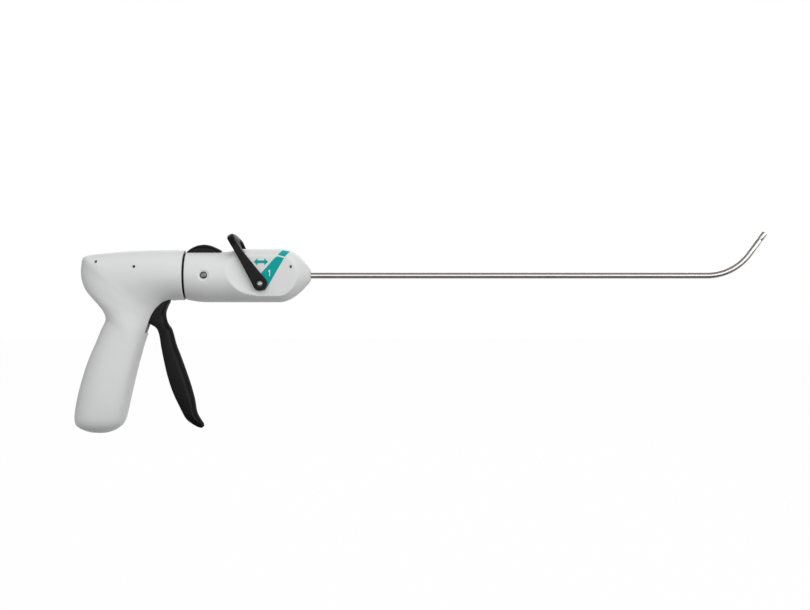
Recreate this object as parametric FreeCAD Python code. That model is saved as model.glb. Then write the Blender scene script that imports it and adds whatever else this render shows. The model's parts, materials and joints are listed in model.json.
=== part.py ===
import FreeCAD, Part
import math
import os

# Hernia tacker with a rotating, articulating shaft. Millimetres.
# The origin is on the shaft's axis at the front face of the nose. +X runs to the tip, +Z is up and -Y is the
# right hand side.

V = FreeCAD.Vector
ALONG_X = V(1, 0, 0)
ALONG_Y = V(0, 1, 0)
ALONG_Z = V(0, 0, 1)
RIGHT = -1
LEFT = 1
HALF_SPACE = 400.0        # more than the handle's and the barrel's reach from the origin

# Clearances
RUNNING_FIT = 0.05        # radial, between a shaft and the hole it turns or slides in
SEAT_GAP = 0.3            # between a moving piece and what stands beside it
SKIN_GAP = 0.05           # between fixed pieces that only lie against each other

# Moulded housings
WALL = 2.4
BOSS_RADIUS = 3.2
BOSS_GAP = 0.1            # half of the gap between the two shells' bosses

# Handle: an upper body through upright sections and a grip through level sections
HANDLE_SQUARENESS = 2.35
COLLAR_X = -96.9
COLLAR_TOP = 19.7
COLLAR_BOTTOM = -18.9
BODY_ROWS = [
    # x, top, bottom, half width
    (-176.7, 10.0, 0.5, 7.0),
    (-175.4, 13.4, -5.0, 10.2),
    (-171.5, 15.2, -12.6, 13.2),
    (-165.5, 16.5, -19.6, 15.2),
    (-158.0, 17.4, -27.0, 16.4),
    (-150.0, 18.1, -30.5, 17.0),
    (-142.0, 18.6, -31.5, 17.4),
    (-134.0, 19.0, -31.0, 17.8),
    (-127.0, 19.3, -29.3, 18.1),
    (-121.0, 19.5, -26.6, 18.4),
    (-115.0, 19.6, -22.2, 18.7),
    (-109.0, 19.7, -19.6, 19.0),
    (-103.0, 19.7, -18.9, 19.2),
    (COLLAR_X, COLLAR_TOP, COLLAR_BOTTOM, (COLLAR_TOP - COLLAR_BOTTOM) / 2),
]
GRIP_ROWS = [
    # z, rear, front, half width
    (-121.0, -167.5, -157.0, 4.5),
    (-119.6, -173.8, -151.6, 9.4),
    (-117.0, -178.6, -147.4, 12.7),
    (-113.0, -181.2, -143.7, 14.5),
    (-108.0, -181.5, -141.7, 15.4),
    (-100.0, -180.6, -139.8, 15.9),
    (-90.0, -178.6, -137.8, 16.0),
    (-80.0, -175.9, -135.4, 16.0),
    (-70.0, -172.8, -133.1, 15.8),
    (-60.0, -169.1, -130.3, 15.5),
    (-50.0, -164.6, -127.2, 15.2),
    (-42.0, -161.4, -125.2, 15.0),
    (-35.0, -159.0, -124.2, 15.0),
    (-28.0, -158.8, -120.8, 15.2),
    (-22.5, -158.8, -115.6, 15.5),
    (-18.0, -158.8, -111.0, 15.6),
    (-12.0, -158.8, -109.0, 15.6),
]
GRIP_SCREWS = [(-147.5, -62.0), (-160.0, -103.0)]
REAR_SCREWS = [(-162.9, 10.4), (-133.2, 6.6)]
SCREW_HOLE_RADIUS = 1.1
SCREW_REACH = 6.0         # how far a shell screw goes into the right half
SCREW_HEAD_RADIUS = 2.1
SCREW_HEAD_Y = 8.0        # the head's seat in the left half
SCREW_HEAD_HEIGHT = 1.8
SCREW_SOCKET_RADIUS = 0.8
SCREW_SOCKET_DEPTH = 1.0

# Trigger
TRIGGER_PIVOT = (-115.5, -12.5)
TRIGGER_TRAVEL = 16.0     # degrees, squeezed towards the grip
TRIGGER_AXLE_RADIUS = 1.6
TRIGGER_HUB_RADIUS = 3.6
TRIGGER_AXLE_SEAT = 2.8   # how far the axle goes into each shell's boss
TRIGGER_SQUARENESS = 3.0
TRIGGER_ROWS = [
    # front edge x, z; rear edge x, z; half width
    (-109.6, -14.5, -120.5, -16.0, 5.2),
    (-108.4, -19.5, -123.5, -22.0, 5.2),
    (-109.6, -23.6, -125.8, -29.3, 5.3),
    (-111.2, -28.5, -126.4, -34.6, 5.4),
    (-110.8, -33.5, -123.0, -37.8, 5.4),
    (-109.2, -37.4, -118.9, -40.6, 5.5),
    (-107.0, -41.0, -116.6, -43.6, 5.7),
    (-105.5, -45.0, -115.7, -48.0, 6.0),
    (-103.3, -53.1, -114.6, -55.2, 6.4),
    (-99.6, -62.7, -112.3, -66.3, 6.8),
    (-95.9, -73.0, -109.6, -77.5, 7.0),
    (-92.2, -84.0, -105.8, -89.2, 7.0),
    (-89.2, -95.1, -101.0, -99.6, 6.8),
    (-87.5, -104.6, -96.0, -109.3, 6.2),
    (-84.9, -109.8, -91.4, -113.6, 5.4),
    (-82.4, -113.6, -86.8, -116.4, 4.2),
    (-82.6, -115.2, -84.6, -117.0, 2.5),
]
FORK_INNER = 6.4          # half width between the fork's cheeks
FORK_THICKNESS = 2.0
FORK_EYE_RADIUS = 1.9
FORK_PIN_RADIUS = 1.0
FORK_PIN_INNER = 4.2      # half of the space between the fork's two pins
GROOVE_FIT = 0.15         # between a pin and each side of the groove that it pushes
FORK_ARM = 16.5           # pivot to fork pins
SLOT_HALF_WIDTH = 6.0     # the trigger's slot in the housing
SLOT_FRONT_X = -106.0
SLOT_BACK_X = -134.0
SLOT_TOP_Z = -13.0
SLOT_LOW_Z = -43.5
SLOT_SLANT = 12.0         # the slot's lower front corner is cut off by this much both ways

# Collar bearing between the handle and the barrel
BEARING_SPIGOT_RADIUS = 13.5
BEARING_SPIGOT_END_X = -84.0
BEARING_WALL = 2.0
BEARING_REAR_X = -102.5
BEARING_REAR_RADIUS = 15.5
BEARING_WEB_X = -100.5
BEARING_WEB = 2.0
COLLAR_GAP = 1.4          # the black ring seen between the handle and the barrel
COLLAR_INSET = 1.0        # how far the ring lies below the handle's skin
DETENT_COUNT = 12
DETENT_RADIUS = 0.9

# Drive: a spool pushed by the trigger's fork, and the rod that it carries
SPOOL_RADIUS = 6.1
SPOOL_CORE = 3.6
SPOOL_FLANGE = 2.5
SPOOL_TAIL = 14.0
SPOOL_TAIL_END = 6.0      # how far the tail runs on behind its guide
SPOOL_GUIDE = 3.0         # thickness of the web that guides the tail
PUSH_ROD_RADIUS = 1.6
PUSH_ROD_GAP = 3.1        # left between the pushed rod and the rearmost fastener
SPRING_WIRE = 0.55
RETURN_SPRING_RADIUS = 4.7
RETURN_SPRING_TURNS = 4

# Barrel, the rotating nose
BARREL_REAR_X = COLLAR_X + COLLAR_GAP + 0.2
BARREL_RADIUS = 20.5
BARREL_WAIST_TOP = 18.3   # the rear half is lower on top, round the button
BARREL_REAR_RADIUS = 18.5
NOSE_START_X = -22.0
NOSE_FACE_RADIUS = 4.8
NOSE_STEPS = 9
FLAT_HALF_WIDTH = 14.5    # from the centre plane to the side flats
FLAT_BLEND = 5.0
FLAT_REAR_X = -66.1
FLAT_REAR_RADIUS = 24.6   # the flat's rear end, seen from the side
FLAT_LOW_Z = -15.5
REAR_RIB = 3.0            # thickness of the barrel's rear bearing rib
RIB = 2.0                 # thickness of its other ribs
AXLE_BOSS_WALL = 2.2

# Rotation lock button
BUTTON_CENTRE_X = -82.0
BUTTON_TOP = 23.8
BUTTON_ARC = 19.7
BUTTON_HALF_WIDTH = 5.5
BUTTON_REAR_X = -94.3
BUTTON_TRAVEL = 2.0
BUTTON_STEM = (-83.2, -71.0)
BUTTON_FLANGE_HALF_WIDTH = 7.4
BUTTON_FLANGE_Z = (11.9, 13.3)
BUTTON_SKIRT_Z = 16.0
BUTTON_CROWN_RADIUS = 11.0
BUTTON_SPRING_RADIUS = 2.6
BUTTON_SPRING_TURNS = 4

# Carrier inside the barrel
CARRIER_X = -80.2
CARRIER_THICKNESS = 6.0
CARRIER_RADIUS = 15.5
CARRIER_TOP = 4.5
SIDE_SCREW_RADIUS = 1.5
SIDE_SCREW_HEAD = 2.8
SIDE_SCREW_HEIGHT = 1.5
SIDE_SCREW_INNER_Y = 9.0  # where the screw ends inside the carrier
HEX_RADIUS = 1.1
HEX_DEPTH = 1.0
SIDE_RECESS_RADIUS = 3.4
SIDE_RECESS_DEPTH = 2.2
SHELL_SCREWS = [(-57.0, -12.5), (-57.0, 12.0)]
NOSE_SCREW = (-14.3, 6.5)

# Articulation lever, a bail over the barrel
LEVER_PIVOT = (-37.5, -6.4)
LEVER_REST = -31.0        # degrees from upright, towards the handle
LEVER_TRAVEL = 68.0
LEVER_LENGTH = 43.4
LEVER_BRIDGE = 8.8
LEVER_THICKNESS = 4.2
LEVER_BOSS_RADIUS = 5.45
LEVER_TOP_WIDTH = 4.4
LEVER_OUTER_CORNER = 13.0
LEVER_INNER_CORNER = 9.0
LEVER_AXLE_RADIUS = 2.0
LEVER_RECESS_RADIUS = 3.9
LEVER_RECESS_DEPTH = 0.9
CRANK_ARM = 5.0
CRANK_THICKNESS = 2.0
CRANK_INNER = 7.6
CRANK_CHEEK_RADIUS = 1.9
CRANK_PIN_RADIUS = 1.0
CRANK_PIN_INNER = 5.0     # half of the space between the two crank pins
LEVER_SCREW_RADIUS = 0.9
LEVER_SCREW_REACH = 1.9
LEVER_SCREW_HEAD = 2.5
LEVER_SCREW_HEIGHT = 0.8
SLIDER_RADIUS = 7.0
SLIDER_CORE = 4.2
SLIDER_LENGTH = 8.0
SLIDER_UNDERSIDE = -3.8

# Shaft
SHAFT_RADIUS = 2.4
SHAFT_BORE_RADIUS = 2.1
SHAFT_STRAIGHT = 304.8
SHAFT_REAR_X = -27.0
SHAFT_BUSH_RADIUS = 2.9   # the bush swaged on the tube inside the nose, flush with the nose's face
HUB_RADIUS = 4.4
HUB_FRONT_X = -18.5
HUB_RIB_INSET = 2.0       # from each end of the hub to the rib that holds it
HUB_COLLAR_RADIUS = 6.5
INNER_TUBE_WALL = 0.2
INNER_TUBE_SHORT = 6.3    # from the end of the inner tube and of the fasteners to the start of the bend
BEND_ANGLE = 54.0
BEND_RADIUS = 40.5
BEND_JOINTS = 4           # hinges; the mitred cells between them are straight, so the lever can line them up
TIP_STRAIGHT = 19.8
TIP_RADIUS = 2.25
TIP_NECK = 6.2            # from the end of the tip back to the groove
TIP_NECK_WIDTH = 1.2
TIP_NECK_RADIUS = 2.3
CROWN_DEPTH = 1.4
CROWN_WIDTH = 1.3

# Fasteners waiting in the shaft
FASTENER_COUNT = 28
FASTENER_PITCH = 7.1
FASTENER_GAP = 0.3        # from one fastener's point to the next one's head
FASTENER_HEAD_RADIUS = 1.65
FASTENER_SHANK_RADIUS = 0.9
FASTENER_HEAD = 1.2
FASTENER_POINT = 1.6
FASTENER_POINT_RADIUS = 0.2


def rod(radius, start, direction, length):
    """A round bar from a point along a direction."""
    return Part.makeCylinder(radius, length, start, direction)


def pipe(outer, inner, start, direction, length):
    """A round tube with a plain bore."""
    return rod(outer, start, direction, length).cut(rod(inner, start, direction, length))


def cross_pin(radius, x, z, y_from, y_to):
    """A round bar across the tool, from one side to the other."""
    return rod(radius, V(x, y_from, z), ALONG_Y, y_to - y_from)


def block(x_from, x_to, y_from, y_to, z_from, z_to):
    """A rectangular block given by its limits."""
    return Part.makeBox(x_to - x_from, y_to - y_from, z_to - z_from, V(x_from, y_from, z_from))


def side_plate(points, y_from, y_to):
    """A flat plate seen from the side: corners in X and Z, thickness in Y."""
    corners = [V(x, y_from, z) for x, z in points]
    face = Part.Face(Part.makePolygon(corners + corners[:1]))
    return face.extrude(V(0, y_to - y_from, 0))


def turned(profile):
    """A solid turned about the shaft's axis, from x and radius pairs."""
    corners = [V(x, 0, radius) for x, radius in profile]
    face = Part.Face(Part.makePolygon(corners + corners[:1]))
    return face.revolve(V(0, 0, 0), ALONG_X, 360)


def section_wire(rear, front, half_width, squareness, steps=16):
    """A smooth closed squared ellipse across the tool, between its rear edge and its front edge."""
    middle = (rear + front) / 2
    reach = (rear - front) / 2
    points = []
    for step in range(steps):
        angle = 2 * math.pi * step / steps
        along = math.copysign(abs(math.sin(angle)) ** (2 / squareness), math.sin(angle))
        across = math.copysign(abs(math.cos(angle)) ** (2 / squareness), math.cos(angle))
        points.append(middle + reach * along + V(0, RIGHT * half_width * across, 0))
    curve = Part.BSplineCurve()
    curve.interpolate(points, True)
    return Part.Wire(curve.toShape())


def keep_side(shape, side):
    """The half of a shape on one side of the tool's centre plane."""
    return shape.common(block(-HALF_SPACE, HALF_SPACE, min(0, side * HALF_SPACE), max(0, side * HALF_SPACE),
                              -HALF_SPACE, HALF_SPACE))


def inset(station, wall):
    """A station moved in by a wall thickness at both edges and at the side."""
    rear, front, half_width = station
    step = (front - rear).normalize() * wall
    return (rear + step, front - step, half_width - wall)


def moulded_body(stations, squareness, wall=0.0):
    """A smooth form lofted through its stations, or its hollow when a wall thickness is given."""
    wires = []
    for index, station in enumerate(stations):
        rear, front, half_width = inset(station, wall) if wall else station
        value = squareness[index] if isinstance(squareness, list) else squareness
        wires.append(section_wire(rear, front, half_width, value))
    return Part.makeLoft(wires, True, False, False, 4)


def body_stations():
    return [(V(x, 0, top), V(x, 0, bottom), half_width) for x, top, bottom, half_width in BODY_ROWS]


def body_squareness():
    """Squared over the grip and round at the collar."""
    fade = 5
    count = len(BODY_ROWS)
    shares = [min(1.0, (count - 1 - index) / fade) for index in range(count)]
    return [2 + (HANDLE_SQUARENESS - 2) * share for share in shares]


def grip_stations():
    return [(V(rear, 0, z), V(front, 0, z), half_width) for z, rear, front, half_width in GRIP_ROWS]


def handle_form():
    """The handle's outer form: the upper body with the grip run up into it."""
    upper = moulded_body(body_stations(), body_squareness())
    return upper.fuse(moulded_body(grip_stations(), HANDLE_SQUARENESS))


def handle_cavity():
    """The hollow of the handle, open at the collar."""
    upper = moulded_body(body_stations()[2:], body_squareness()[2:], WALL)
    return upper.fuse(moulded_body(grip_stations()[2:], HANDLE_SQUARENESS, WALL))


def boss(x, z, side, radius):
    """A screw boss from beyond the skin in to the centre plane."""
    reach = 2 * BARREL_RADIUS
    if side == RIGHT:
        return cross_pin(radius, x, z, -reach, -BOSS_GAP)
    return cross_pin(radius, x, z, BOSS_GAP, reach)


def handle_shell(whole, hollow, side):
    """One moulded half of the handle, with bosses, the bearing's seat and the trigger's slot."""
    form = keep_side(whole, side)
    shell = keep_side(whole.cut(hollow), side)
    seat = pipe(2 * COLLAR_TOP, BEARING_REAR_RADIUS + SKIN_GAP, V(BEARING_REAR_X, 0, 0), ALONG_X,
                COLLAR_X - BEARING_REAR_X)
    inside = [seat]
    for x, z in REAR_SCREWS + GRIP_SCREWS:
        inside.append(boss(x, z, side, BOSS_RADIUS))
    pivot_x, pivot_z = TRIGGER_PIVOT
    pivot_face = FORK_INNER + FORK_THICKNESS + SEAT_GAP
    if side == RIGHT:
        inside.append(cross_pin(TRIGGER_HUB_RADIUS, pivot_x, pivot_z, -2 * BARREL_RADIUS, -pivot_face))
    else:
        inside.append(cross_pin(TRIGGER_HUB_RADIUS, pivot_x, pivot_z, pivot_face, 2 * BARREL_RADIUS))
    guide_x = spool_groove_x() - SPOOL_TAIL
    guide = block(guide_x - SPOOL_GUIDE / 2, guide_x + SPOOL_GUIDE / 2, min(0, side * COLLAR_TOP),
                  max(0, side * COLLAR_TOP), -SPOOL_RADIUS, SPOOL_RADIUS)
    inside.append(guide)
    for piece in inside:
        shell = shell.fuse(form.common(piece))
    shell = shell.cut(rod(SPOOL_CORE + RUNNING_FIT, V(guide_x - 10, 0, 0), ALONG_X, 20))
    slot = side_plate([
        (SLOT_FRONT_X, SLOT_LOW_Z + SLOT_SLANT), (SLOT_FRONT_X, SLOT_TOP_Z), (SLOT_BACK_X, SLOT_TOP_Z),
        (SLOT_BACK_X, SLOT_LOW_Z), (SLOT_FRONT_X - SLOT_SLANT, SLOT_LOW_Z)], -SLOT_HALF_WIDTH, SLOT_HALF_WIDTH)
    shell = shell.cut(slot)
    for x, z in REAR_SCREWS:
        shell = shell.cut(screw_hole(x, z, side, True))
    for x, z in GRIP_SCREWS:
        shell = shell.cut(screw_hole(x, z, side, False))
    depth = pivot_face + TRIGGER_AXLE_SEAT + SKIN_GAP
    shell = shell.cut(cross_pin(TRIGGER_AXLE_RADIUS + SKIN_GAP, pivot_x, pivot_z, -depth, depth))
    return shell


def screw_hole(x, z, side, through):
    """The hole for one shell screw: counterbored on the left, threaded on the right."""
    far = 2 * BARREL_RADIUS
    if side == LEFT:
        shank = cross_pin(SCREW_HOLE_RADIUS + SKIN_GAP, x, z, 0, far)
        return shank.fuse(cross_pin(SCREW_HEAD_RADIUS + SKIN_GAP, x, z, SCREW_HEAD_Y, far))
    return cross_pin(SCREW_HOLE_RADIUS, x, z, -far if through else -SCREW_REACH - 0.5, 0)


def shell_screw(x, z):
    """A pan-head screw put in from the left."""
    shank = cross_pin(SCREW_HOLE_RADIUS - SKIN_GAP, x, z, -SCREW_REACH, SCREW_HEAD_Y)
    head = cross_pin(SCREW_HEAD_RADIUS, x, z, SCREW_HEAD_Y, SCREW_HEAD_Y + SCREW_HEAD_HEIGHT)
    head_top = SCREW_HEAD_Y + SCREW_HEAD_HEIGHT
    socket = cross_pin(SCREW_SOCKET_RADIUS, x, z, head_top - SCREW_SOCKET_DEPTH, head_top)
    return shank.fuse(head).cut(socket).removeSplitter()


def handle_screws():
    return Part.makeCompound([shell_screw(x, z) for x, z in REAR_SCREWS + GRIP_SCREWS])


def bearing_ring():
    """The black bush: its rear end is held in the handle and its spigot carries the barrel."""
    skin = COLLAR_BOTTOM + COLLAR_INSET
    front_x = COLLAR_X + COLLAR_GAP
    ring = turned([
        (BEARING_REAR_X, BEARING_REAR_RADIUS - BEARING_WALL), (BEARING_REAR_X, BEARING_REAR_RADIUS),
        (COLLAR_X, BEARING_REAR_RADIUS), (COLLAR_X, -skin), (front_x, -skin),
        (front_x, BEARING_SPIGOT_RADIUS), (BEARING_SPIGOT_END_X, BEARING_SPIGOT_RADIUS),
        (BEARING_SPIGOT_END_X, BEARING_SPIGOT_RADIUS - BEARING_WALL),
        (BEARING_WEB_X + BEARING_WEB, BEARING_SPIGOT_RADIUS - BEARING_WALL),
        (BEARING_WEB_X + BEARING_WEB, PUSH_ROD_RADIUS + RUNNING_FIT),
        (BEARING_WEB_X, PUSH_ROD_RADIUS + RUNNING_FIT),
        (BEARING_WEB_X, BEARING_REAR_RADIUS - BEARING_WALL)])
    for step in range(DETENT_COUNT):
        angle = 2 * math.pi * step / DETENT_COUNT
        middle = V(BEARING_SPIGOT_END_X, BEARING_SPIGOT_RADIUS * math.sin(angle),
                   BEARING_SPIGOT_RADIUS * math.cos(angle))
        inward = V(0, -math.sin(angle), -math.cos(angle))
        ring = ring.cut(rod(DETENT_RADIUS, middle - inward, inward, BEARING_WALL + 2))
    return ring


def trigger_axle():
    pivot_x, pivot_z = TRIGGER_PIVOT
    reach = FORK_INNER + FORK_THICKNESS + SEAT_GAP + TRIGGER_AXLE_SEAT
    return cross_pin(TRIGGER_AXLE_RADIUS, pivot_x, pivot_z, -reach, reach)


def spool_groove_x():
    """Where the fork's pins stand at rest, half the travel behind upright."""
    return TRIGGER_PIVOT[0] - FORK_ARM * math.sin(math.radians(TRIGGER_TRAVEL / 2))


def fork_pin_z():
    return TRIGGER_PIVOT[1] + FORK_ARM * math.cos(math.radians(TRIGGER_TRAVEL / 2))


def trigger():
    """The finger lever with its fork."""
    stations = [(V(front_x, 0, front_z), V(rear_x, 0, rear_z), half_width)
                for front_x, front_z, rear_x, rear_z, half_width in TRIGGER_ROWS]
    lever = moulded_body(stations, TRIGGER_SQUARENESS)
    pivot_x, pivot_z = TRIGGER_PIVOT
    pin_x = spool_groove_x()
    pin_z = fork_pin_z()
    outer = FORK_INNER + FORK_THICKNESS
    saddle = block(pivot_x - 6.0, pivot_x + 0.5, -outer, outer, pivot_z - 4.4, pivot_z - 2.2)
    lever = lever.fuse(saddle)
    for side in (RIGHT, LEFT):
        low, high = sorted((side * FORK_INNER, side * outer))
        pin_low, pin_high = sorted((side * FORK_PIN_INNER, side * FORK_INNER))
        hub = cross_pin(TRIGGER_HUB_RADIUS, pivot_x, pivot_z, low, high)
        arm = side_plate([(pivot_x + 2.6, pivot_z), (pin_x + FORK_EYE_RADIUS, pin_z),
                          (pin_x - FORK_EYE_RADIUS, pin_z), (pivot_x - 3.4, pivot_z)], low, high)
        eye = cross_pin(FORK_EYE_RADIUS, pin_x, pin_z, low, high)
        pin = cross_pin(FORK_PIN_RADIUS, pin_x, pin_z, pin_low, pin_high)
        lever = lever.fuse([hub, arm, eye, pin])
    lever = lever.cut(cross_pin(TRIGGER_AXLE_RADIUS + RUNNING_FIT, pivot_x, pivot_z, -outer - 1, outer + 1))
    return lever


def drive_spool():
    """The spool in the trigger's fork, with its guide tail."""
    middle = spool_groove_x()
    half_groove = FORK_PIN_RADIUS + GROOVE_FIT
    rear = middle - half_groove - SPOOL_FLANGE
    front = middle + half_groove + SPOOL_FLANGE
    tail = middle - SPOOL_TAIL - SPOOL_TAIL_END
    body = turned([
        (tail, 0), (tail, SPOOL_CORE), (rear, SPOOL_CORE), (rear, SPOOL_RADIUS),
        (middle - half_groove, SPOOL_RADIUS), (middle - half_groove, SPOOL_CORE),
        (middle + half_groove, SPOOL_CORE), (middle + half_groove, SPOOL_RADIUS),
        (front, SPOOL_RADIUS), (front, 0)])
    return body.cut(rod(PUSH_ROD_RADIUS + SKIN_GAP, V(middle, 0, 0), ALONG_X, 20))


def drive_stroke():
    """How far the squeezed trigger pushes the spool."""
    return 2 * FORK_ARM * math.sin(math.radians(TRIGGER_TRAVEL / 2))


def push_rod():
    start = spool_groove_x() + GROOVE_FIT
    return rod(PUSH_ROD_RADIUS, V(start, 0, 0), ALONG_X, fastener_start_x() - PUSH_ROD_GAP - drive_stroke() - start)


def coil(radius, wire, start, direction, length, turns):
    """A wound spring with its axis along a direction."""
    pitch = (length - 2 * wire) / turns
    path = Part.makeHelix(pitch, length - 2 * wire, radius)
    ring = Part.Wire(Part.Circle(V(radius, 0, 0), V(0, radius, pitch / (2 * math.pi)), wire).toShape())
    spring = Part.Wire(path).makePipeShell([ring], True, True)
    spring.translate(V(0, 0, wire))
    spring.Placement = FreeCAD.Placement(start, FreeCAD.Rotation(ALONG_Z, direction)).multiply(spring.Placement)
    return spring


def return_spring():
    start = spool_groove_x() + FORK_PIN_RADIUS + GROOVE_FIT + SPOOL_FLANGE + SKIN_GAP
    return coil(RETURN_SPRING_RADIUS, SPRING_WIRE, V(start, 0, 0), ALONG_X,
                BEARING_WEB_X - SKIN_GAP - start, RETURN_SPRING_TURNS)


def nose_radius(x):
    """The nose is a paraboloid from the barrel's full radius down to its flat face."""
    share = (x - NOSE_START_X) / -NOSE_START_X
    return NOSE_FACE_RADIUS + (BARREL_RADIUS - NOSE_FACE_RADIUS) * (1 - share * share)


def barrel_stations():
    """Upright round sections: x, top and bottom."""
    full = BARREL_RADIUS
    rows = [
        (BARREL_REAR_X, BARREL_WAIST_TOP, -BARREL_REAR_RADIUS),
        (BARREL_REAR_X + 5, BARREL_WAIST_TOP, -(BARREL_REAR_RADIUS + 0.5 * (full - BARREL_REAR_RADIUS))),
        (BARREL_REAR_X + 12, BARREL_WAIST_TOP, -(full - 0.15)),
        (-76.0, BARREL_WAIST_TOP, -full),
        (-67.0, BARREL_WAIST_TOP, -full),
        (-62.5, BARREL_WAIST_TOP + 0.3, -full),
        (-58.0, full - 0.9, -full),
        (-54.5, full - 0.1, -full),
        (-50.0, full, -full),
        (-36.0, full, -full),
    ]
    for step in range(NOSE_STEPS):
        x = NOSE_START_X * (1 - step / (NOSE_STEPS - 1))
        rows.append((x, nose_radius(x), -nose_radius(x)))
    return [(V(x, 0, top), V(x, 0, bottom), (top - bottom) / 2) for x, top, bottom in rows]


def flat_tool(side, wall=0.0):
    """What a side flat takes away: level inside, swept up at its rear end. With a wall, what stays closed behind."""
    radius = FLAT_REAR_RADIUS + wall
    centre = V(FLAT_REAR_X + FLAT_REAR_RADIUS, 0, FLAT_LOW_Z + FLAT_REAR_RADIUS)
    rear = centre - V(radius, 0, 0)
    low = centre - V(0, 0, radius)
    slant = V(-radius, 0, -radius) * math.sqrt(0.5)
    high_rear = V(rear.x, 0, 30)
    high_front = V(10, 0, 30)
    low_front = V(10, 0, low.z)
    edges = [
        Part.makeLine(high_rear, rear), Part.Arc(rear, centre + slant, low).toShape(),
        Part.makeLine(low, low_front), Part.makeLine(low_front, high_front), Part.makeLine(high_front, high_rear)]
    tool = Part.Face(Part.Wire(edges)).extrude(V(0, side * 30, 0))
    tool.translate(V(0, side * (FLAT_HALF_WIDTH - wall), 0))
    if wall:
        return tool
    foot = []
    for edge in tool.Edges:
        box = edge.BoundBox
        level = box.YLength < 1e-6 and abs(abs(box.YMin) - FLAT_HALF_WIDTH) < 1e-6
        if level and box.XMin < rear.x + 1 and box.XMax < low.x + 1:
            foot.append(edge)
    return tool.makeFillet(FLAT_BLEND, foot)


def barrel_form():
    """The barrel's outer form with its two side flats."""
    form = moulded_body(barrel_stations(), 2.0)
    return form.cut([flat_tool(RIGHT), flat_tool(LEFT)])


def barrel_cavity():
    """The hollow of the barrel, closed behind the flats and the nose's thick tip."""
    hollow = moulded_body(barrel_stations()[:-4], 2.0, WALL)
    return hollow.cut([flat_tool(RIGHT, WALL), flat_tool(LEFT, WALL)])


def barrel_shell(whole, hollow, side):
    """One moulded half of the barrel."""
    form = keep_side(whole, side)
    shell = keep_side(whole.cut(hollow), side)
    bore = BEARING_SPIGOT_RADIUS + RUNNING_FIT
    ribs = [
        pipe(2 * BARREL_RADIUS, bore, V(BARREL_REAR_X, 0, 0), ALONG_X, REAR_RIB),
        pipe(2 * BARREL_RADIUS, bore, V(BEARING_SPIGOT_END_X - 1.75 * RIB, 0, 0), ALONG_X, RIB),
        pipe(2 * BARREL_RADIUS, CARRIER_RADIUS - RIB, V(CARRIER_X + CARRIER_THICKNESS / 2 + SKIN_GAP, 0, 0),
             ALONG_X, RIB),
        pipe(2 * BARREL_RADIUS, HUB_RADIUS + SKIN_GAP, V(SHAFT_REAR_X + HUB_RIB_INSET, 0, 0), ALONG_X, RIB),
        pipe(2 * BARREL_RADIUS, HUB_RADIUS + SKIN_GAP, V(HUB_FRONT_X - HUB_RIB_INSET, 0, 0), ALONG_X, RIB),
    ]
    near = CARRIER_RADIUS + SKIN_GAP
    if side == RIGHT:
        ribs.append(cross_pin(SIDE_RECESS_RADIUS + AXLE_BOSS_WALL, CARRIER_X, 0, -2 * BARREL_RADIUS, -near))
    else:
        ribs.append(cross_pin(SIDE_RECESS_RADIUS + AXLE_BOSS_WALL, CARRIER_X, 0, near, 2 * BARREL_RADIUS))
    for x, z in SHELL_SCREWS + [NOSE_SCREW]:
        ribs.append(boss(x, z, side, BOSS_RADIUS))
    lever_x, lever_z = LEVER_PIVOT
    crank_face = CRANK_INNER + CRANK_THICKNESS + SEAT_GAP
    if side == RIGHT:
        ribs.append(cross_pin(LEVER_AXLE_RADIUS + AXLE_BOSS_WALL, lever_x, lever_z, -2 * BARREL_RADIUS, -crank_face))
    else:
        ribs.append(cross_pin(LEVER_AXLE_RADIUS + AXLE_BOSS_WALL, lever_x, lever_z, crank_face, 2 * BARREL_RADIUS))
    for rib in ribs:
        shell = shell.fuse(form.common(rib))
    shell = shell.cut(block(BUTTON_REAR_X - SEAT_GAP, button_front_x() + SEAT_GAP,
                            -BUTTON_HALF_WIDTH - SEAT_GAP, BUTTON_HALF_WIDTH + SEAT_GAP,
                            BEARING_SPIGOT_RADIUS + SEAT_GAP, 2 * BARREL_RADIUS))
    shell = shell.cut(block(BUTTON_STEM[0] - SEAT_GAP, BUTTON_STEM[1] + SEAT_GAP,
                            -BUTTON_FLANGE_HALF_WIDTH - SEAT_GAP, BUTTON_FLANGE_HALF_WIDTH + SEAT_GAP,
                            BUTTON_FLANGE_Z[0] - BUTTON_TRAVEL - SEAT_GAP, BEARING_SPIGOT_RADIUS + SEAT_GAP))
    shell = shell.cut(rod(SHAFT_BUSH_RADIUS + SKIN_GAP, V(SHAFT_REAR_X, 0, 0), ALONG_X, 40))
    shell = shell.cut(cross_pin(LEVER_AXLE_RADIUS + RUNNING_FIT, lever_x, lever_z, -25, 25))
    shell = shell.cut(side_recess(side))
    for x, z in SHELL_SCREWS:
        shell = shell.cut(screw_hole(x, z, side, False))
    return shell.cut(screw_hole(NOSE_SCREW[0], NOSE_SCREW[1], side, True))


def side_skin_y():
    """Distance from the centre plane to the barrel's skin beside the carrier."""
    middle = (BARREL_WAIST_TOP - BARREL_RADIUS) / 2
    radius = (BARREL_WAIST_TOP + BARREL_RADIUS) / 2
    return math.sqrt(radius * radius - middle * middle)


def side_recess(side):
    """The counterbore of the side screw."""
    seat = side_skin_y() - SIDE_RECESS_DEPTH
    if side == RIGHT:
        wide = cross_pin(SIDE_RECESS_RADIUS, CARRIER_X, 0, -2 * BARREL_RADIUS, -seat)
        return wide.fuse(cross_pin(SIDE_SCREW_RADIUS + SKIN_GAP, CARRIER_X, 0, -seat, -10))
    wide = cross_pin(SIDE_RECESS_RADIUS, CARRIER_X, 0, seat, 2 * BARREL_RADIUS)
    return wide.fuse(cross_pin(SIDE_SCREW_RADIUS + SKIN_GAP, CARRIER_X, 0, 10, seat))


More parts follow.
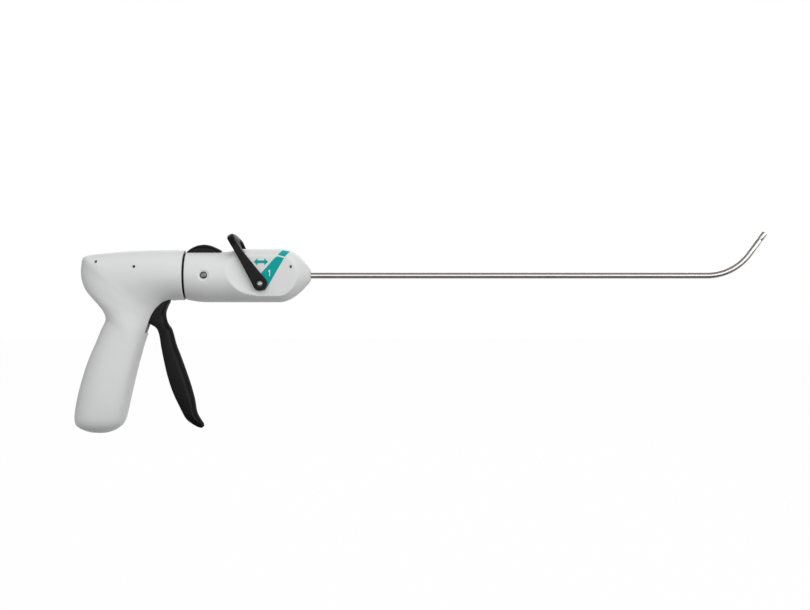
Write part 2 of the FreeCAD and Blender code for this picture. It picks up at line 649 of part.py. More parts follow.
def hex_socket(floor_middle, outward, depth):
    """The prism that a screw head's hexagon socket takes away."""
    corners = []
    for step in range(6):
        angle = math.radians(60 * step)
        corners.append(floor_middle + V(math.cos(angle), 0, math.sin(angle)) * HEX_RADIUS)
    return Part.Face(Part.makePolygon(corners + corners[:1])).extrude(outward * depth)


def side_screws():
    """The two screws that hold the carrier, one from each side."""
    seat = side_skin_y() - SIDE_RECESS_DEPTH
    screws = []
    for side in (RIGHT, LEFT):
        outward = V(0, side, 0)
        middle = V(CARRIER_X, 0, 0)
        shank = rod(SIDE_SCREW_RADIUS, middle + outward * SIDE_SCREW_INNER_Y, outward, seat - SIDE_SCREW_INNER_Y)
        head = rod(SIDE_SCREW_HEAD, middle + outward * seat, outward, SIDE_SCREW_HEIGHT)
        socket = hex_socket(middle + outward * (seat + SIDE_SCREW_HEIGHT - HEX_DEPTH), outward, HEX_DEPTH)
        screws.append(shank.fuse(head).cut(socket))
    return Part.makeCompound(screws)


def barrel_screws():
    return Part.makeCompound([shell_screw(x, z) for x, z in SHELL_SCREWS + [NOSE_SCREW]])


def carrier():
    """The disc inside the barrel that guides the rod and takes the side screws."""
    disc = rod(CARRIER_RADIUS, V(CARRIER_X - CARRIER_THICKNESS / 2, 0, 0), ALONG_X, CARRIER_THICKNESS)
    disc = disc.cut(rod(PUSH_ROD_RADIUS + RUNNING_FIT, V(CARRIER_X - 10, 0, 0), ALONG_X, 20))
    disc = disc.cut(block(CARRIER_X - 10, CARRIER_X + 10, -20, 20, CARRIER_TOP, 20))
    tapped = SIDE_SCREW_INNER_Y - 0.5
    disc = disc.cut(cross_pin(SIDE_SCREW_RADIUS + SKIN_GAP, CARRIER_X, 0, -20, -tapped))
    return disc.cut(cross_pin(SIDE_SCREW_RADIUS + SKIN_GAP, CARRIER_X, 0, tapped, 20))


def button_front_x():
    """Where the button's arc comes down to the barrel's top."""
    drop = BUTTON_TOP - BUTTON_ARC
    return BUTTON_CENTRE_X + math.sqrt(BUTTON_ARC ** 2 - (BARREL_WAIST_TOP - drop) ** 2)


def lock_button():
    """The domed push button: dome, skirt, stem and the flange that keeps it in."""
    centre_z = BUTTON_TOP - BUTTON_ARC
    front_x = button_front_x()
    dome = cross_pin(BUTTON_ARC, BUTTON_CENTRE_X, centre_z, -BUTTON_HALF_WIDTH, BUTTON_HALF_WIDTH)
    dome = dome.common(block(BUTTON_REAR_X, front_x, -BUTTON_HALF_WIDTH, BUTTON_HALF_WIDTH,
                             BUTTON_SKIRT_Z, BUTTON_TOP + 1))
    crown = rod(BUTTON_CROWN_RADIUS, V(BUTTON_REAR_X - 1, 0, BUTTON_TOP - BUTTON_CROWN_RADIUS), ALONG_X,
                front_x - BUTTON_REAR_X + 2)
    dome = dome.common(crown)
    stem = block(BUTTON_STEM[0], BUTTON_STEM[1], -BUTTON_HALF_WIDTH, BUTTON_HALF_WIDTH,
                 BUTTON_FLANGE_Z[0], BUTTON_SKIRT_Z)
    flange = block(BUTTON_STEM[0], BUTTON_STEM[1], -BUTTON_FLANGE_HALF_WIDTH, BUTTON_FLANGE_HALF_WIDTH,
                   BUTTON_FLANGE_Z[0], BUTTON_FLANGE_Z[1])
    return dome.fuse([stem, flange]).removeSplitter()


def button_spring():
    return coil(BUTTON_SPRING_RADIUS, SPRING_WIRE, V(CARRIER_X, 0, CARRIER_TOP + SKIN_GAP), ALONG_Z,
                BUTTON_FLANGE_Z[0] - CARRIER_TOP - 2 * SKIN_GAP, BUTTON_SPRING_TURNS)


def lean(shape):
    """Move a shape drawn upright at the lever's pivot to its resting lean."""
    shape.rotate(V(0, 0, 0), ALONG_Y, LEVER_REST)
    shape.translate(V(LEVER_PIVOT[0], 0, LEVER_PIVOT[1]))
    return shape


def arch(half_width, top, corner, foot):
    """An upside-down U in Y and Z, with rounded shoulders, as a face in the plane x = -20."""
    x = -20
    low = corner * (1 - math.sqrt(0.5))
    left = V(x, -half_width, foot)
    left_top = V(x, -half_width, top - corner)
    top_left = V(x, -half_width + corner, top)
    top_right = V(x, half_width - corner, top)
    right_top = V(x, half_width, top - corner)
    right = V(x, half_width, foot)
    edges = [
        Part.makeLine(left, left_top),
        Part.Arc(left_top, V(x, -half_width + low, top - low), top_left).toShape(),
        Part.makeLine(top_left, top_right),
        Part.Arc(top_right, V(x, half_width - low, top - low), right_top).toShape(),
        Part.makeLine(right_top, right),
        Part.makeLine(right, left),
    ]
    return Part.Face(Part.Wire(edges)).extrude(V(40, 0, 0))


def lever_profile():
    """The arm seen from the side: a round boss, straight flanks and a rounded end."""
    end_radius = LEVER_TOP_WIDTH / 2
    end_z = LEVER_LENGTH - end_radius
    swing = math.asin((LEVER_BOSS_RADIUS - end_radius) / end_z)
    cos, sin = math.cos(swing), math.sin(swing)
    boss_side = V(LEVER_BOSS_RADIUS * cos, 0, LEVER_BOSS_RADIUS * sin)
    end_side = V(end_radius * cos, 0, end_z + end_radius * sin)
    far_end = V(-end_side.x, 0, end_side.z)
    far_boss = V(-boss_side.x, 0, boss_side.z)
    edges = [
        Part.makeLine(boss_side, end_side),
        Part.Arc(end_side, V(0, 0, LEVER_LENGTH), far_end).toShape(),
        Part.makeLine(far_end, far_boss),
        Part.Arc(far_boss, V(0, 0, -LEVER_BOSS_RADIUS), boss_side).toShape(),
    ]
    profile = Part.Face(Part.Wire(edges)).extrude(V(0, 60, 0))
    profile.translate(V(0, -30, 0))
    return profile


def lever():
    """The bail: two arms on the side flats, joined by a bridge over the barrel."""
    inner = FLAT_HALF_WIDTH + SEAT_GAP
    outer = inner + LEVER_THICKNESS
    bail = arch(outer, LEVER_LENGTH, LEVER_OUTER_CORNER, -10).cut(
        arch(inner, LEVER_LENGTH - LEVER_BRIDGE, LEVER_INNER_CORNER, -11))
    bail = bail.common(lever_profile())
    bail = bail.cut(cross_pin(LEVER_AXLE_RADIUS + SKIN_GAP, 0, 0, -30, 30))
    for y_from, y_to in ((-outer, -outer + LEVER_RECESS_DEPTH), (outer - LEVER_RECESS_DEPTH, outer)):
        bail = bail.cut(cross_pin(LEVER_RECESS_RADIUS, 0, 0, y_from, y_to))
    return lean(bail)


def lever_axle():
    """The cross shaft with the two crank cheeks that push the slider."""
    reach = FLAT_HALF_WIDTH + SEAT_GAP + LEVER_THICKNESS - LEVER_RECESS_DEPTH - 0.1
    shaft = cross_pin(LEVER_AXLE_RADIUS, 0, 0, -reach, reach)
    middle = -LEVER_TRAVEL / 2
    cheek_outer = CRANK_INNER + CRANK_THICKNESS
    for side in (RIGHT, LEFT):
        low, high = sorted((side * CRANK_INNER, side * cheek_outer))
        pin_low, pin_high = sorted((side * CRANK_PIN_INNER, side * CRANK_INNER))
        cheek = cross_pin(LEVER_AXLE_RADIUS + 1.4, 0, 0, low, high)
        cheek = cheek.fuse([
            side_plate([(-CRANK_CHEEK_RADIUS, 0), (CRANK_CHEEK_RADIUS, 0), (CRANK_CHEEK_RADIUS, CRANK_ARM),
                        (-CRANK_CHEEK_RADIUS, CRANK_ARM)], low, high),
            cross_pin(CRANK_CHEEK_RADIUS, 0, CRANK_ARM, low, high),
            cross_pin(CRANK_PIN_RADIUS, 0, CRANK_ARM, pin_low, pin_high)])
        cheek.rotate(V(0, 0, 0), ALONG_Y, middle)
        shaft = shaft.fuse(cheek)
    shaft = shaft.removeSplitter()
    hole = LEVER_SCREW_REACH + 0.1
    for end in (-reach, reach - hole):
        shaft = shaft.cut(cross_pin(LEVER_SCREW_RADIUS, 0, 0, end, end + hole))
    shaft.translate(V(LEVER_PIVOT[0], 0, LEVER_PIVOT[1]))
    return shaft


def lever_screws():
    """The two small screws in the ends of the cross shaft."""
    seat = FLAT_HALF_WIDTH + SEAT_GAP + LEVER_THICKNESS - LEVER_RECESS_DEPTH
    screws = []
    for side in (RIGHT, LEFT):
        outward = V(0, side, 0)
        middle = V(LEVER_PIVOT[0], 0, LEVER_PIVOT[1])
        shank = rod(LEVER_SCREW_RADIUS - SKIN_GAP, middle + outward * (seat - LEVER_SCREW_REACH), outward,
                    LEVER_SCREW_REACH)
        head = rod(LEVER_SCREW_HEAD, middle + outward * seat, outward, LEVER_SCREW_HEIGHT)
        socket = hex_socket(middle + outward * (seat + LEVER_SCREW_HEIGHT / 2), outward, LEVER_SCREW_HEIGHT)
        screws.append(shank.fuse(head).cut(socket))
    return Part.makeCompound(screws)


def crank_pin_x():
    """Where the crank pins stand at rest, half the travel behind upright."""
    return LEVER_PIVOT[0] - CRANK_ARM * math.sin(math.radians(LEVER_TRAVEL / 2))


def articulation_slider():
    """The grooved block that the crank pins push along the shaft."""
    middle = crank_pin_x()
    half_groove = CRANK_PIN_RADIUS + GROOVE_FIT
    rear = middle - SLIDER_LENGTH / 2
    front = middle + SLIDER_LENGTH / 2
    bore = SHAFT_BORE_RADIUS - 2 * RUNNING_FIT + SKIN_GAP
    body = turned([
        (rear, bore), (rear, SLIDER_RADIUS), (middle - half_groove, SLIDER_RADIUS),
        (middle - half_groove, SLIDER_CORE), (middle + half_groove, SLIDER_CORE),
        (middle + half_groove, SLIDER_RADIUS), (front, SLIDER_RADIUS), (front, bore)])
    return body.cut(block(rear - 1, front + 1, -20, 20, -20, SLIDER_UNDERSIDE))


def inner_tube_end_x():
    return SHAFT_STRAIGHT - INNER_TUBE_SHORT


def fastener_start_x():
    return inner_tube_end_x() - FASTENER_COUNT * FASTENER_PITCH


def articulation_tube():
    """The inner tube between the slider and the flexing stretch."""
    outer = SHAFT_BORE_RADIUS - 2 * RUNNING_FIT
    start = crank_pin_x() - SLIDER_LENGTH / 2
    return pipe(outer, outer - INNER_TUBE_WALL, V(start, 0, 0), ALONG_X, inner_tube_end_x() - start)


def half_kink():
    """Half of the angle between two neighbouring cells of the bend."""
    return BEND_ANGLE / BEND_JOINTS / 2


def mitre_lead():
    """From the point where a straight cell touches the bend's arc to the middle of its mitre."""
    return BEND_RADIUS * math.tan(math.radians(half_kink()))


def bend_wedge(first, last):
    """The space between two planes through the bend's centre, at angles counted from where the bend starts."""
    corners = [(SHAFT_STRAIGHT, BEND_RADIUS)]
    for angle in (first, last):
        corners.append((SHAFT_STRAIGHT + 3 * BEND_RADIUS * math.sin(math.radians(angle)),
                        BEND_RADIUS - 3 * BEND_RADIUS * math.cos(math.radians(angle))))
    return side_plate(corners, -2 * SHAFT_RADIUS, 2 * SHAFT_RADIUS)


def bent(shape, angle):
    """Turn a piece drawn where the bend starts to its place along the bend."""
    shape.rotate(V(SHAFT_STRAIGHT, 0, BEND_RADIUS), V(0, -1, 0), angle)
    return shape


def tube_end_x():
    """The straight tube ends square, level with the first hinge on its outer side."""
    return SHAFT_STRAIGHT + mitre_lead() + SHAFT_RADIUS * math.tan(math.radians(half_kink()))


def outer_tube():
    """The straight shaft with its bush in the nose."""
    end = tube_end_x()
    return turned([
        (SHAFT_REAR_X, SHAFT_BORE_RADIUS), (SHAFT_REAR_X, SHAFT_BUSH_RADIUS), (0, SHAFT_BUSH_RADIUS),
        (0, SHAFT_RADIUS), (end, SHAFT_RADIUS), (end, SHAFT_BORE_RADIUS)])


def shaft_hub():
    """The collar that ties the shaft to the barrel, caught between two ribs."""
    bore = SHAFT_BUSH_RADIUS + SKIN_GAP
    rib_rear = SHAFT_REAR_X + HUB_RIB_INSET + RIB + SKIN_GAP
    rib_front = HUB_FRONT_X - HUB_RIB_INSET - SKIN_GAP
    return turned([
        (SHAFT_REAR_X, bore), (SHAFT_REAR_X, HUB_RADIUS), (rib_rear, HUB_RADIUS),
        (rib_rear, HUB_COLLAR_RADIUS), (rib_front, HUB_COLLAR_RADIUS), (rib_front, HUB_RADIUS),
        (HUB_FRONT_X, HUB_RADIUS), (HUB_FRONT_X, bore)])


def flex_link(number):
    """One straight cell of the flexing stretch, mitred at both ends. It hinges on the outer side of the bend. The
    first one starts at the straight tube's square end."""
    reach = mitre_lead() + SHAFT_RADIUS
    cell = pipe(SHAFT_RADIUS, SHAFT_BORE_RADIUS, V(SHAFT_STRAIGHT - reach, 0, 0), ALONG_X, 2 * reach)
    link = bent(cell.common(bend_wedge(-half_kink(), half_kink())), 2 * half_kink() * number)
    return link.cut(rod(2 * SHAFT_RADIUS, V(0, 0, 0), ALONG_X, tube_end_x()))


def tip_tube():
    """The last cell runs on into the straight tip, with its neck and its crown."""
    start = SHAFT_STRAIGHT - mitre_lead() - SHAFT_RADIUS
    end = SHAFT_STRAIGHT + TIP_STRAIGHT
    neck = end - TIP_NECK
    tip = turned([
        (start, SHAFT_BORE_RADIUS), (start, SHAFT_RADIUS), (neck - TIP_NECK_WIDTH, SHAFT_RADIUS),
        (neck - TIP_NECK_WIDTH, TIP_NECK_RADIUS), (neck, TIP_NECK_RADIUS), (neck, SHAFT_RADIUS),
        (neck + 2.0, SHAFT_RADIUS), (end, TIP_RADIUS), (end, SHAFT_BORE_RADIUS - 0.1),
        (neck, SHAFT_BORE_RADIUS - 0.1), (neck - 1.0, SHAFT_BORE_RADIUS)])
    notch = block(end - CROWN_DEPTH, end + 1, -CROWN_WIDTH / 2, CROWN_WIDTH / 2, -5, 5)
    for angle in (0, 60, 120):
        cut = notch.copy()
        cut.rotate(V(0, 0, 0), ALONG_X, angle)
        tip = tip.cut(cut)
    return bent(tip.cut(bend_wedge(-half_kink() - 60, -half_kink())), BEND_ANGLE)


def fastener(x):
    """One absorbable fastener: a round head, a shank and a point."""
    tail = x + FASTENER_PITCH - FASTENER_GAP
    return turned([
        (x, 0), (x, FASTENER_HEAD_RADIUS), (x + FASTENER_HEAD, FASTENER_HEAD_RADIUS),
        (x + FASTENER_HEAD, FASTENER_SHANK_RADIUS), (tail - FASTENER_POINT, FASTENER_SHANK_RADIUS),
        (tail, FASTENER_POINT_RADIUS), (tail, 0)])


def fastener_stack():
    first = fastener_start_x()
    return Part.makeCompound([fastener(first + FASTENER_PITCH * index) for index in range(FASTENER_COUNT)])


def build():
    """Every piece by its node name."""
    handle = handle_form()
    handle_hollow = handle_cavity()
    barrel = barrel_form()
    barrel_hollow = barrel_cavity()
    pieces = {
        "handle_shell_right": handle_shell(handle, handle_hollow, RIGHT),
        "handle_shell_left": handle_shell(handle, handle_hollow, LEFT),
        "handle_screws": handle_screws(),
        "bearing_ring": bearing_ring(),
        "trigger_axle": trigger_axle(),
        "trigger": trigger(),
        "drive_spool": drive_spool(),
        "push_rod": push_rod(),
        "return_spring": return_spring(),
        "barrel_shell_right": barrel_shell(barrel, barrel_hollow, RIGHT),
        "barrel_shell_left": barrel_shell(barrel, barrel_hollow, LEFT),
        "barrel_screws": barrel_screws(),
        "side_screws": side_screws(),
        "carrier": carrier(),
        "lock_button": lock_button(),
        "button_spring": button_spring(),
        "articulation_lever": lever(),
        "lever_axle": lever_axle(),
        "lever_screws": lever_screws(),
        "articulation_slider": articulation_slider(),
        "articulation_tube": articulation_tube(),
        "outer_tube": outer_tube(),
        "shaft_hub": shaft_hub(),
        "tip_tube": tip_tube(),
        "fastener_stack": fastener_stack(),
    }
    for number in range(1, BEND_JOINTS):
        pieces["flex_link_%d" % number] = flex_link(number)
    return pieces


os.makedirs("parts", exist_ok=True)
for name, shape in build().items():
    print(name, "valid" if shape.isValid() else "INVALID", "solids", len(shape.Solids),
          "volume %.1f" % shape.Volume)
    shape.exportStep("parts/%s.step" % name)
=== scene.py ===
import json
import math
import bmesh
import bpy
import numpy as np
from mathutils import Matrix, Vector


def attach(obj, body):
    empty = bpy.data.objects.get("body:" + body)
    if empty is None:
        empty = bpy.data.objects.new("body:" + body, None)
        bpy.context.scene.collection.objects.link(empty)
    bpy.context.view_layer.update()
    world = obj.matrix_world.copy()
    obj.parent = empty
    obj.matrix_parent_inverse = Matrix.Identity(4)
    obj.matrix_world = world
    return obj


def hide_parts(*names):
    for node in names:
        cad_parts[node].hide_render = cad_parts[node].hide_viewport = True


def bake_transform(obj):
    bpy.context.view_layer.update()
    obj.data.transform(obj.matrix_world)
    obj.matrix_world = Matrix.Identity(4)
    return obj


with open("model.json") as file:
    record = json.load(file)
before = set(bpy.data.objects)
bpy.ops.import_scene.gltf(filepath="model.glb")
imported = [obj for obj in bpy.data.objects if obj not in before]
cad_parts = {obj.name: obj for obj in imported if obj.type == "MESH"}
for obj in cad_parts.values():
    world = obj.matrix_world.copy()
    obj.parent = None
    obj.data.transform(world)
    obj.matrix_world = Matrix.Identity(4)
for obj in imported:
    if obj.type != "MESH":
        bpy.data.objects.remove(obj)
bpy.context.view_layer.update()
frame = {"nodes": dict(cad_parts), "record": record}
MM = 0.001

# Camera: level with the middle of the tool and square to its right hand side, about a metre away,
# as the catalogue picture was taken.
camera_data = bpy.data.cameras.new("camera")
camera_data.sensor_width = 36.0
camera_data.lens = 62.0
camera_data.clip_end = 20.0
camera = bpy.data.objects.new("camera", camera_data)
bpy.context.scene.collection.objects.link(camera)
camera.location = (0.0724, -1.074, -0.0226)
camera.rotation_euler = (math.pi / 2, 0.0, 0.0)
bpy.context.scene.camera = camera
bpy.context.scene.view_settings.view_transform = "Standard"

# Studio: a white floor that runs back into a white room, soft boxes above, in front, at the right and behind, and a
# dark flag on the floor under the tool, which the camera doesn't see: it shades the undersides and puts the dark band
# on the steel.


class Value:
    """A socket that can be added and multiplied in Python. Each operator adds one Math node."""

    def __init__(self, finish, socket):
        self.finish = finish
        self.socket = socket

    def math(self, operation, *others):
        inputs = dict(enumerate((self,) + others))
        return Value(self.finish, self.finish.add("ShaderNodeMath", {"operation": operation}, inputs).outputs[0])

    def __add__(self, other):
        return self.math("ADD", other)

    def __mul__(self, other):
        return self.math("MULTIPLY", other)

    __radd__ = __add__
    __rmul__ = __mul__


class Finish:
    """A material. add() takes a node's type, its settings, and the values or links of its sockets."""

    def __init__(self, name):
        self.material = bpy.data.materials.new(name)
        self.material.use_nodes = True
        self.tree = self.material.node_tree
        self.shader = self.tree.nodes["Principled BSDF"]

    def add(self, kind, settings, inputs):
        node = self.tree.nodes.new(kind)
        for name, value in settings.items():
            setattr(node, name, value)
        for name, value in inputs.items():
            self.feed(node.inputs[name], value)
        return node

    def feed(self, socket, value):
        if isinstance(value, Value):
            value = value.socket
        if isinstance(value, bpy.types.NodeSocket):
            self.tree.links.new(value, socket)
        else:
            socket.default_value = value

    def set(self, **sockets):
        for name, value in sockets.items():
            self.feed(self.shader.inputs[name.replace("_", " ")], value)

    def noise(self, waves, detail=2.0, stretch=(1, 1, 1)):
        """Smooth noise from 0 to 1 on the piece's own coordinates, with so many waves a metre."""
        place = self.add("ShaderNodeTexCoord", {}, {}).outputs["Object"]
        moved = self.add("ShaderNodeMapping", {}, {"Vector": place, "Scale": stretch}).outputs[0]
        node = self.add("ShaderNodeTexNoise", {}, {"Vector": moved, "Scale": waves, "Detail": detail})
        return Value(self, node.outputs["Fac"])

    def bump(self, height, strength, depth):
        node = self.add("ShaderNodeBump", {}, {"Height": height, "Strength": strength, "Distance": depth})
        self.feed(self.shader.inputs["Normal"], node.outputs[0])


def flat_card(name, corners, finish):
    mesh = bpy.data.meshes.new(name)
    mesh.from_pydata(corners, [], [tuple(range(len(corners)))])
    card = bpy.data.objects.new(name, mesh)
    bpy.context.scene.collection.objects.link(card)
    card.data.materials.append(finish.material)
    return card


white_floor = Finish("white floor")
white_floor.set(Base_Color=(0.8, 0.8, 0.8, 1), Roughness=0.9, Specular_IOR_Level=0.0)
ray = white_floor.add("ShaderNodeLightPath", {}, {})
from_camera = Value(white_floor, ray.outputs["Is Camera Ray"])
seen = from_camera.math("MAXIMUM", Value(white_floor, ray.outputs["Is Glossy Ray"]))
glow = white_floor.add("ShaderNodeEmission", {}, {"Color": (1, 1, 1, 1), "Strength": 1.0})
FLOOR_GLOW = 0.985
shown = white_floor.add("ShaderNodeMixShader", {},
                        {0: seen * FLOOR_GLOW, 1: white_floor.shader.outputs[0], 2: glow.outputs[0]})
white_floor.feed(white_floor.tree.nodes["Material Output"].inputs[0], shown.outputs[0])
FLOOR_Z = -0.27
flat_card("floor", [(-8, -6, FLOOR_Z), (8, -6, FLOOR_Z), (8, 9, FLOOR_Z), (-8, 9, FLOOR_Z)], white_floor)

dark_cloth = Finish("dark flag")
dark_cloth.set(Base_Color=(0.13, 0.13, 0.13, 1), Roughness=1.0, Specular_IOR_Level=0.0)
FLAG_Z = -0.262
flag = flat_card("flag", [(-0.45, -2.6, FLAG_Z), (1.9, -2.6, FLAG_Z), (1.9, 0.05, FLAG_Z), (-0.45, 0.05, FLAG_Z)],
                 dark_cloth)
flag.visible_camera = False

world = bpy.data.worlds.new("studio")
bpy.context.scene.world = world
world.use_nodes = True
world_tree = world.node_tree
room = world_tree.nodes.new("ShaderNodeMix")
room.data_type = "RGBA"
room.inputs[6].default_value = (0.30, 0.30, 0.305, 1)
room.inputs[7].default_value = (1, 1, 1, 1)
world_tree.links.new(world_tree.nodes.new("ShaderNodeLightPath").outputs["Is Camera Ray"], room.inputs[0])
world_tree.links.new(room.outputs[2], world_tree.nodes["Background"].inputs["Color"])


def soft_box(name, place, aim, width, height, watts, mirrored=True):
    """A rectangular area lamp aimed at a point, which bright metal mirrors or not."""
    data = bpy.data.lights.new(name, "AREA")
    data.shape = "RECTANGLE"
    data.size = width
    data.size_y = height
    data.energy = watts
    lamp = bpy.data.objects.new(name, data)
    bpy.context.scene.collection.objects.link(lamp)
    lamp.location = place
    lamp.rotation_euler = (Vector(aim) - Vector(place)).to_track_quat("-Z", "Y").to_euler()
    lamp.visible_glossy = mirrored


soft_box("soft box above", (0.05, -0.55, 1.25), (0.05, 0.0, 0.0), 2.2, 2.0, 10.5, False)
soft_box("soft box in front", (0.25, -1.9, 0.30), (0.05, 0.0, -0.02), 2.6, 1.5, 20)
soft_box("soft box at the right", (1.3, -1.0, 0.05), (-0.05, 0.0, -0.03), 1.4, 1.4, 11.5)
soft_box("soft box behind", (0.05, 1.6, 0.9), (0.05, 0.0, 0.0), 2.2, 1.0, 12)

# Handle: two moulded halves in light grey plastic, screwed together from the left. The body round the drive runs down
# into the grip; the trigger comes out of a slot in the scoop, and small blind screw holes show on the right.
GREY = (0.72, 0.725, 0.72, 1)
grey_plastic = Finish("light grey moulded plastic")
grey_plastic.set(Base_Color=GREY, Roughness=0.40 + 0.08 * grey_plastic.noise(120.0), IOR=1.46)
grey_plastic.bump(grey_plastic.noise(2400.0), 0.10, 0.0001)

HANDLE_WALL = 2.2
HANDLE_COLUMNS = 73
COLLAR_EDGE = 0.45
# rear or top edge x, z; front or bottom edge x, z; half width; squareness of the rear and of the front half
HANDLE_ROWS = [
    (-96.9, 19.7, -96.9, -18.9, 19.3, 2.0, 2.0),
    (-103.0, 19.7, -101.0, -18.85, 19.2, 2.0, 2.0),
    (-113.0, 19.6, -105.5, -19.2, 18.9, 2.05, 2.0),
    (-124.0, 19.4, -109.0, -20.0, 18.5, 2.1, 2.0),
    (-136.0, 18.95, -111.8, -21.2, 18.1, 2.15, 2.0),
    (-148.0, 18.2, -114.0, -23.0, 17.7, 2.2, 2.0),
    (-158.0, 17.3, -115.8, -25.0, 17.4, 2.2, 2.0),
    (-166.0, 16.4, -117.3, -27.0, 17.1, 2.2, 2.0),
    (-172.3, 15.3, -118.5, -29.0, 16.9, 2.2, 2.0),
    (-175.2, 13.4, -119.5, -30.8, 16.8, 2.2, 2.0),
    (-176.3, 9.0, -120.3, -32.4, 16.6, 2.2, 2.0),
    (-176.7, 1.7, -121.3, -34.6, 16.4, 2.25, 2.0),
    (-175.6, -4.6, -122.1, -36.6, 16.1, 2.3, 2.0),
    (-173.4, -10.2, -122.8, -38.4, 15.9, 2.3, 2.0),
    (-170.2, -14.6, -123.5, -40.2, 15.7, 2.3, 2.0),
    (-166.8, -18.4, -124.2, -41.9, 15.5, 2.3, 2.0),
    (-163.4, -22.2, -125.0, -43.8, 15.4, 2.3, 2.0),
    (-160.3, -26.1, -125.9, -46.3, 15.3, 2.3, 2.0),
    (-158.3, -29.8, -126.8, -48.9, 15.2, 2.3, 2.0),
    (-157.6, -33.2, -127.6, -51.3, 15.1, 2.3, 2.05),
    (-158.6, -36.5, -128.4, -53.6, 15.1, 2.3, 2.15),
    (-160.2, -39.6, -129.3, -56.4, 15.1, 2.3, 2.3),
    (-161.9, -43.6, -130.4, -60.3, 15.2, 2.3, 2.45),
    (-165.5, -52.4, -132.2, -66.7, 15.4, 2.3, 2.6),
    (-169.5, -61.4, -134.1, -74.0, 15.7, 2.3, 2.7),
    (-173.3, -71.8, -136.3, -83.2, 15.9, 2.3, 2.75),
    (-176.5, -82.4, -138.6, -93.0, 16.0, 2.3, 2.75),
    (-178.9, -91.8, -140.3, -101.2, 15.9, 2.3, 2.7),
    (-180.6, -100.3, -141.8, -107.8, 15.5, 2.3, 2.6),
    (-181.5, -107.3, -143.5, -112.4, 14.9, 2.3, 2.5),
    (-181.5, -111.5, -145.6, -115.2, 13.9, 2.3, 2.4),
    (-180.6, -114.6, -148.4, -117.4, 12.3, 2.3, 2.3),
    (-178.2, -116.9, -151.6, -119.1, 10.2, 2.3, 2.2),
    (-174.5, -118.8, -155.2, -120.3, 7.6, 2.2, 2.2),
    (-170.0, -120.3, -159.0, -120.9, 4.4, 2.1, 2.1),
    (-164.6, -121.0, -164.4, -121.0, 0.1, 2.0, 2.0),
]


def through(rows, at):
    """A smooth curve through rows of numbers: between two rows a cubic, whose slope at each row is half the step from
    the row before to the row after."""
    rows = np.asarray(rows, float)
    slope = np.empty_like(rows)
    slope[1:-1] = (rows[2:] - rows[:-2]) / 2
    slope[0] = rows[1] - rows[0]
    slope[-1] = rows[-1] - rows[-2]
    first = np.clip(at.astype(int), 0, len(rows) - 2)
    t = (at - first)[:, None]
    return ((2 * t**3 - 3 * t**2 + 1) * rows[first] + (t**3 - 2 * t**2 + t) * slope[first]
            + (3 * t**2 - 2 * t**3) * rows[first + 1] + (t**3 - t**2) * slope[first + 1])


def fade(value, start, end):
    """0 at the start and 1 at the end, along 3t^2 - 2t^3."""
    t = np.clip((value - start) / (end - start), 0, 1)
    return t * t * (3 - 2 * t)


def outward(grid):
    """Unit normals of a grid of points: the cross product of its steps along rows and columns."""
    along = np.gradient(grid, axis=0)
    across = np.gradient(grid, axis=1)
    normal = np.cross(along, across)
    return normal / np.maximum(np.linalg.norm(normal, axis=2, keepdims=True), 1e-9)


def squared_halves(rows, turns):
    """Half sections between a rear edge and a front edge. With t from 0 at the rear edge to 180 degrees at the front
    edge, a point lies at sign(cos t)|cos t|^(2/n) along the half length and at |sin t|^(2/n) of the half width."""
    rear = rows[:, None, 0:2]
    front = rows[:, None, 2:4]
    cos, sin = np.cos(turns)[None, :], np.sin(turns)[None, :]
    n = np.where(cos > 0, rows[:, 5:6], rows[:, 6:7])
    along = np.sign(cos) * np.abs(cos) ** (2 / n)
    side = np.abs(sin) ** (2 / n)
    place = (rear + front) / 2 + (rear - front) / 2 * along[..., None]
    return np.stack([place[..., 0], -rows[:, 4:5] * side, place[..., 1]], axis=-1)


def grid_piece(name, grid, around=False, solids=()):
    """An object from a grid of points in mm: a quad between four neighbours. Doubles are merged, so that rows or
    columns drawn together close the piece, and its faces turned outwards. Plain solids, such as an arm of the same
    moulding, are added as corners and faces."""
    count = np.arange(grid.shape[0] * grid.shape[1]).reshape(grid.shape[:2])
    if around:
        count = np.concatenate([count, count[:, :1]], axis=1)
    quads = np.stack([count[:-1, :-1], count[:-1, 1:], count[1:, 1:], count[1:, :-1]], axis=-1).reshape(-1, 4)
    points, faces = (grid.reshape(-1, 3) * MM).tolist(), quads.tolist()
    for corners, sides in solids:
        faces += [[len(points) + i for i in side] for side in sides]
        points += (corners * MM).tolist()
    mesh = bpy.data.meshes.new(name)
    mesh.from_pydata(points, [], faces)
    return mesh_piece(name, mesh)


def mesh_piece(name, mesh, crease=38):
    """Merges doubles, turns the faces outwards, and shades smooth except over edges sharper than the crease."""
    work = bmesh.new()
    work.from_mesh(mesh)
    bmesh.ops.remove_doubles(work, verts=work.verts, dist=2e-6)
    bmesh.ops.dissolve_degenerate(work, edges=work.edges, dist=1e-7)
    bmesh.ops.recalc_face_normals(work, faces=work.faces)
    work.to_mesh(mesh)
    work.free()
    mesh.shade_smooth()
    mesh.set_sharp_from_angle(angle=math.radians(crease))
    piece = bpy.data.objects.new(name, mesh)
    bpy.context.scene.collection.objects.link(piece)
    return piece


def bar_cutter(radius, x, z, y_from, y_to, sides=24):
    """Corners and faces of a round bar across the tool, in mm."""
    turn = np.arange(sides) * 2 * np.pi / sides
    ring = np.stack([x + radius * np.cos(turn), np.zeros(sides), z + radius * np.sin(turn)], axis=1)
    return plate_cutter(ring[:, [0, 2]], y_from, y_to)


